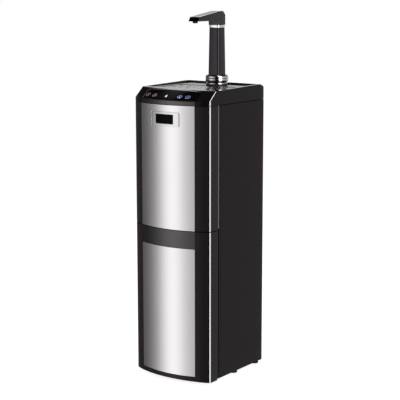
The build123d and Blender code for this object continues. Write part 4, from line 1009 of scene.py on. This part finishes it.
low, high, foot, top = columnLow[2], columnHigh[2], columnHigh[0] * 2, 0.046
columnLevels = [(foot, low, 0.0009), (foot, low + 0.0001), (top, high, 0.0009)]
squareTube("towerColumn", columnLevels, 3, "towerBlack", "tower_black", "tower_column")

trimLow, trimHigh = boxOf("column_ring")
size, low, high, groove = trimHigh[0] * 2, trimLow[2], trimHigh[2], 0.0008
trimLevels = [
    (size - 0.004, low), (size - 0.004, low + groove), (size, low + groove, 0.001),
    (size, high - groove, 0.001), (size - 0.004, high - groove), (size - 0.004, high),
]
squareTube("towerTrim", trimLevels, 4, "brightTrim", "bright_trim", "column_ring")


def mitred(points, distance):
    # the outline's edges moved inwards by a distance and joined again at their new crossings
    points = np.asarray(points, float)
    area = np.sum(points[:, 0] * np.roll(points[:, 1], -1) - np.roll(points[:, 0], -1) * points[:, 1])
    run = np.roll(points, -1, axis=0) - points
    run /= np.linalg.norm(run, axis=1, keepdims=True)
    inward = np.stack([-run[:, 1], run[:, 0]], axis=1) * np.sign(area)
    moved = []
    for index in range(len(points)):
        pair = inward[[index - 1, index]]
        moved.append(np.linalg.solve(pair, np.sum(pair * points[index], axis=1) + distance))
    return np.array(moved)


head = dict(
    back=0.023, neck=0.016, backRound=0.013, topFront=0.008, reach=0.146, tipHeight=0.016, tipRake=0.010,
    half=0.0225, edge=0.0036,
)


def headPiece():
    # the neck is part of the column's square plan and the arm runs out over the tray; this side view is
    # carried from one flank to the other, and near the flanks it shrinks along a quarter circle
    headLow, headHigh = boxOf("spout_head")
    low, high = headLow[2], headHigh[2]
    armLow, rear, front = low + head["neck"], towerY + head["back"], towerY - head["back"]
    tip = towerY - head["reach"]
    corners = [
        (rear, low), (rear, high - head["backRound"]), (rear - head["backRound"], high),
        (towerY - head["topFront"], high),
        (tip + head["tipRake"], armLow + head["tipHeight"]), (tip, armLow), (front - 0.001, armLow),
        (front, low),
    ]
    radii = [0.0008, 0.003, 0.003, 0.012, 0.002, 0.0012, 0.002, 0.0008]
    half, edge = head["half"], head["edge"]
    turn = np.linspace(0, pi / 2, 7)
    rings = []
    for side, order in ((-1, turn), (1, turn[::-1])):
        for angle in order:
            moved = mitred(corners, edge * (1 - sin(angle)))
            outline = np.concatenate(softened(moved[:, None], radii, closed=True, steps=6, limit=0.45))
            x = side * (half - edge + edge * cos(angle))
            rings.append(np.column_stack([np.full(len(outline), x), outline]))
    arm = ringMesh("spoutArm", rings, capped=True, sharpAngle=32)
    dress(arm, "tower", "headBlack", "tower_black", "spout_head")

    def tipRule(middle, normal, azimuth):
        return int(middle.y < tip + head["tipRake"] + 0.0006 and normal.y < -0.5)

    paint(arm, tipRule, "tipBlack")


headPiece()

nozzleLow, nozzleHigh = boxOf("spout_nozzle")
nozzleProfile = [
    (0.0055, nozzleLow[2], 0.0003), (0.0085, nozzleLow[2], 0.0008), (0.0093, nozzleLow[2] + 0.003, 0.0005),
    (0.0093, nozzleHigh[2]), (0.0055, nozzleHigh[2]),
]
nozzle = turned("spoutNozzle", nozzleProfile, ((nozzleLow + nozzleHigh) / 2)[:2], 64, closed=True)
dress(nozzle, "tower", "tipBlack", "tower_black", "spout_nozzle")
print("tower made")

# ---- sides and feet


def sideRule(middle, normal, azimuth):
    # painted shade on the rolled top, bottom and front edges, but for the front one above the door, which
    # gets the glossy corner finish with its painted shade
    if abs(normal.z) > 0.2 or azimuth < 30:
        return 1
    if azimuth < 80:
        return 2 if middle.z > upperLow[2] else 1
    return 0


def sideSheet(name, side, node):
    # a flat sheet whose front, top, rear and bottom edges roll inwards
    low, high = boxOf(node)
    roll, thickness = 0.0012, 0.0022
    turn = roll * (1 - np.sin(np.linspace(0, pi / 2, 6)))

    def spaced(start, end, count):
        steps = [start + turn[::-1], np.linspace(start, end, count)[1:-1], end - turn]
        return np.unique(np.round(np.concatenate(steps), 8))

    gridY, gridZ = np.meshgrid(spaced(low[1], high[1], 14), spaced(low[2], high[2], 26))
    toUpright = np.minimum(gridY - low[1], high[1] - gridY)
    toEdge = np.minimum(toUpright, np.minimum(gridZ - low[2], high[2] - gridZ))
    outerX = cabinet["halfWidth"] * side
    front = np.stack([outerX - side * rolled(toEdge, roll), gridY, gridZ], axis=-1)
    back = np.stack([np.full_like(gridY, outerX - side * thickness), gridY, gridZ], axis=-1)
    sheet = sheetMesh(name, front, back)
    dress(sheet, "cabinet", "sideSheet", "side_sheet", node)
    paint(sheet, sideRule, "seamBlack", "cornerBlack")


sideSheet("sideSheetRight", 1, "side_panel_right")
sideSheet("sideSheetLeft", -1, "side_panel_left")


def feetPiece():
    # three feet to a side, each a turned pad with a stem that runs up into the base
    low, high = boxOf("levelling_feet")
    radius = 0.015
    edgeX = high[0] - radius
    middleY = (boxOf("side_panel_right")[0][1] + cabinet["rearY"]) / 2 - 0.024
    rows = [(edgeX - 0.031, low[1] + radius), (edgeX, middleY), (edgeX, high[1] - radius)]
    soft = 0.0008
    profile = [
        (0, 0), (0.0135, 0, soft), (radius, 0.0015, soft), (radius, 0.004, soft), (0.011, 0.0048, soft),
        (0.0105, high[2]), (0, high[2]),
    ]
    nodes = ["levelling_feet"]
    for index, (x, y) in enumerate(rows):
        for side, label in ((-1, "Left"), (1, "Right")):
            foot = turned(f"foot{label}{index}", profile, (side * x, y), 48)
            dress(foot, "cabinet", "footRubber", "foot_rubber", *nodes)
            nodes = []


feetPiece()
print("sides and feet made")

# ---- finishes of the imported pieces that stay

kept = dict(
    zincSheet="base_pan rear_panel mid_shelf",
    frameBlack="bay_frame",
    linerGrey="bay_liner bay_floor",
    linerDoor="door_liner",
    hingeSteel="hinge_bracket_lower hinge_bracket_upper",
    magnetDark="magnet_catch door_strike",
    boxBlack="control_board tower_locknut control_box",
    hoseClear="tower_tubes probe_hose",
    sealRubber="door_gasket",
    condenserBlack="condenser_coil condenser_wires",
    compressorBlack="compressor",
    footRubber="compressor_grommets",
    tankSteel="cold_tank hot_tank",
    foamWhite="tank_jacket",
    pumpGrey="water_pump",
    probeWhite="bottle_probe drain_cap",
    copperTube="filter_drier",
    switchBlack="inlet_gland switch_plate",
    screwSteel="cabinet_screws",
    switchGreen="cold_switch",
    switchRed="hot_switch",
)
for finish, nodes in kept.items():
    for node in nodes.split():
        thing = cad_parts[node]
        thing.data.materials.clear()
        thing.data.materials.append(finishes[finish])
print("packed pieces finished:", sum(len(nodes.split()) for nodes in kept.values()))

# ---- studio


def makeFloor(reach=14, whiteness=0.86, albedo=0.4):
    # a floor that the camera and reflections see as white, and that still takes the object's shadow
    mesh = bpy.data.meshes.new("floor")
    corners = [(-reach, -reach, 0), (reach, -reach, 0), (reach, reach, 0), (-reach, reach, 0)]
    mesh.from_pydata(corners, [], [(0, 1, 2, 3)])
    floor = linked("floor", mesh)
    material = bpy.data.materials.new("floorWhite")
    material.use_nodes = True
    tree = material.node_tree
    tree.nodes.clear()
    rays = addNode(tree, "LightPath").outputs
    seen = mathNode(tree, "MAXIMUM", rays["Is Camera Ray"], rays["Is Glossy Ray"])
    seen = mathNode(tree, "MAXIMUM", seen, rays["Is Transmission Ray"])
    black = addNode(tree, "Emission", {"Strength": 0}).outputs[0]
    glow = addNode(tree, "Emission", {"Strength": whiteness}).outputs[0]
    shown = addNode(tree, "MixShader", {"Fac": seen, 1: black, 2: glow}).outputs[0]
    lit = addNode(tree, "BsdfDiffuse", {"Color": (albedo, albedo, albedo, 1)}).outputs[0]
    both = addNode(tree, "AddShader", {0: shown, 1: lit}).outputs[0]
    addNode(tree, "OutputMaterial", {"Surface": both})
    mesh.materials.append(material)
    floor.visible_glossy = False


def lamp(name, azimuth, distance, height, width, tall, radiance, aim=(0, 0, 0.65)):
    # a soft box of a given radiance, turned to the object
    data = bpy.data.lights.new(name, "AREA")
    data.shape = "RECTANGLE"
    data.size, data.size_y = width, tall
    data.energy = radiance * pi * width * tall
    thing = linked(name, data)
    turn = radians(azimuth)
    place = np.array([sin(turn) * distance, -cos(turn) * distance, height])
    thing.location = place
    thing.rotation_euler = Vector(np.array(aim) - place).to_track_quat("-Z", "Y").to_euler()
    thing.visible_camera = False
    thing.visible_glossy = False


# what polished surfaces see round the object: azimuth in degrees, from the front to the right, and radiance
around = [
    (-180, 1.0), (-150, 0.8), (-128, 0.7), (-112, 0.4), (-95, 0.13), (-76, 0.13), (-64, 0.26), (-54, 0.45),
    (-46, 0.8), (-38, 1.35), (-31, 1.75), (-24, 1.85), (-17, 1.6), (-10, 1.2), (-4, 0.92), (6, 0.86),
    (12, 0.6), (17, 0.1), (24, 0.02), (54, 0.02), (57, 6.4), (84, 6.4), (88, 1.5), (108, 1.0), (125, 0.75),
    (150, 0.7), (168, 1.0), (180, 1.0),
]
behind = dict(low=25, radiance=4.0, azimuth=-143, spread=9, fade=12)  # bright panel high up behind the left
ceiling = dict(frontEdge=24, rearEdge=43, softness=5, radiance=0.02)
# the narrow strip at the right corner reaches above the dark edge
cornerStrip = dict(low=55, high=86, top=82)


def makeWorld(surroundings=0.45):
    world = bpy.data.worlds.new("studio")
    bpy.context.scene.world = world
    world.use_nodes = True
    tree = world.node_tree
    tree.nodes.clear()

    def math(operation, *terms):
        return mathNode(tree, operation, *terms)

    def step(value, low, high, fromValue=0.0, toValue=1.0):
        sockets = {"Value": value, "From Min": low, "From Max": high, "To Min": fromValue, "To Max": toValue}
        node = addNode(tree, "MapRange", sockets)
        node.interpolation_type = "SMOOTHSTEP"
        return node.outputs["Result"]

    def without(value, part):
        return math("MULTIPLY", value, math("SUBTRACT", 1.0, part))

    direction = addNode(tree, "TexCoord").outputs["Generated"]
    x, y, z = addNode(tree, "SeparateXYZ", {0: direction}).outputs
    azimuth = math("DEGREES", math("ARCTAN2", x, math("MULTIPLY", y, -1.0)))
    elevation = math("DEGREES", math("ARCSINE", z))
    curve = addNode(tree, "FloatCurve", {"Value": math("DIVIDE", math("ADD", azimuth, 180.0), 360.0)})
    points = curve.mapping.curves[0].points
    brightest = max(radiance for _, radiance in around)
    places = [((angle + 180) / 360, radiance / brightest) for angle, radiance in around]
    points[0].location, points[1].location = places[0], places[-1]
    for place in places[1:-1]:
        points.new(*place)
    for point in points:
        point.handle_type = "VECTOR"
    curve.mapping.update()
    level = math("MULTIPLY", curve.outputs["Value"], brightest)
    # behind the left there is a second, brighter panel higher up; above both it is dark, and at the front the
    # dark begins lower down
    offset = math("ABSOLUTE", math("SUBTRACT", azimuth, float(behind["azimuth"])))
    atRear = step(offset, behind["spread"], behind["spread"] + behind["fade"], 1.0, 0.0)
    soft = ceiling["softness"]
    inPanel = math("MULTIPLY", atRear, step(elevation, behind["low"] - soft, behind["low"]))
    level = math("ADD", level, math("MULTIPLY", inPanel, behind["radiance"]))
    rise = step(azimuth, cornerStrip["low"] - 3, cornerStrip["low"])
    fall = step(azimuth, cornerStrip["high"], cornerStrip["high"] + 3, 1.0, 0.0)
    upright = step(elevation, cornerStrip["top"], cornerStrip["top"] + 6, 1.0, 0.0)
    inStrip = math("MULTIPLY", math("MULTIPLY", rise, fall), upright)
    frontDark = without(step(elevation, ceiling["frontEdge"], ceiling["frontEdge"] + soft), inStrip)
    rearDark = without(step(elevation, ceiling["rearEdge"], ceiling["rearEdge"] + soft), inStrip)
    dark = math("MAXIMUM", without(frontDark, atRear), rearDark)
    level = math("ADD", without(level, dark), math("MULTIPLY", dark, ceiling["radiance"]))

    def background(strength):
        return addNode(tree, "Background", {"Color": (1, 1, 1, 1), "Strength": strength}).outputs[0]

    rays = addNode(tree, "LightPath").outputs
    mirrored = {"Fac": rays["Is Glossy Ray"], 1: background(surroundings), 2: background(level)}
    shown = addNode(tree, "MixShader", mirrored).outputs[0]
    straight = math("MAXIMUM", rays["Is Camera Ray"], rays["Is Transmission Ray"])
    shown = addNode(tree, "MixShader", {"Fac": straight, 1: shown, 2: background(1.0)}).outputs[0]
    addNode(tree, "OutputWorld", {"Surface": shown})


view = dict(
    azimuth=36.35, elevation=10.30, distance=4.400, targetX=0.0182, targetZ=0.6331, roll=-0.07,
    focal=1209.5 / 400,  # in widths of the picture
)


def makeCamera(sensor=36):
    # the camera stands on a sphere round its target and is turned a little about its own line of sight
    data = bpy.data.cameras.new("camera")
    data.sensor_width = sensor
    data.lens = sensor * view["focal"]
    data.clip_end = 60
    thing = linked("camera", data)
    a, e = radians(view["azimuth"]), radians(view["elevation"])
    back = Vector((sin(a) * cos(e), -cos(a) * cos(e), sin(e)))
    target = Vector((view["targetX"], 0, view["targetZ"]))
    turn = (-back).to_track_quat("-Z", "Y").to_matrix() @ Matrix.Rotation(radians(view["roll"]), 3, "Z")
    thing.matrix_world = Matrix.Translation(target + back * view["distance"]) @ turn.to_4x4()
    bpy.context.scene.camera = thing


makeFloor()
makeWorld()
makeCamera()
lamp("frontLeft", -40, 3.0, 1.6, 1.6, 2.0, 1.5)
lamp("right", 100, 3.0, 1.4, 1.2, 2.0, 1.5)
lamp("left", -105, 3.0, 1.4, 1.2, 2.0, 3.0)
lamp("above", 150, 1.6, 3.2, 2.4, 2.4, 1.0)
bpy.context.scene.view_settings.view_transform = "Standard"
print("studio made")
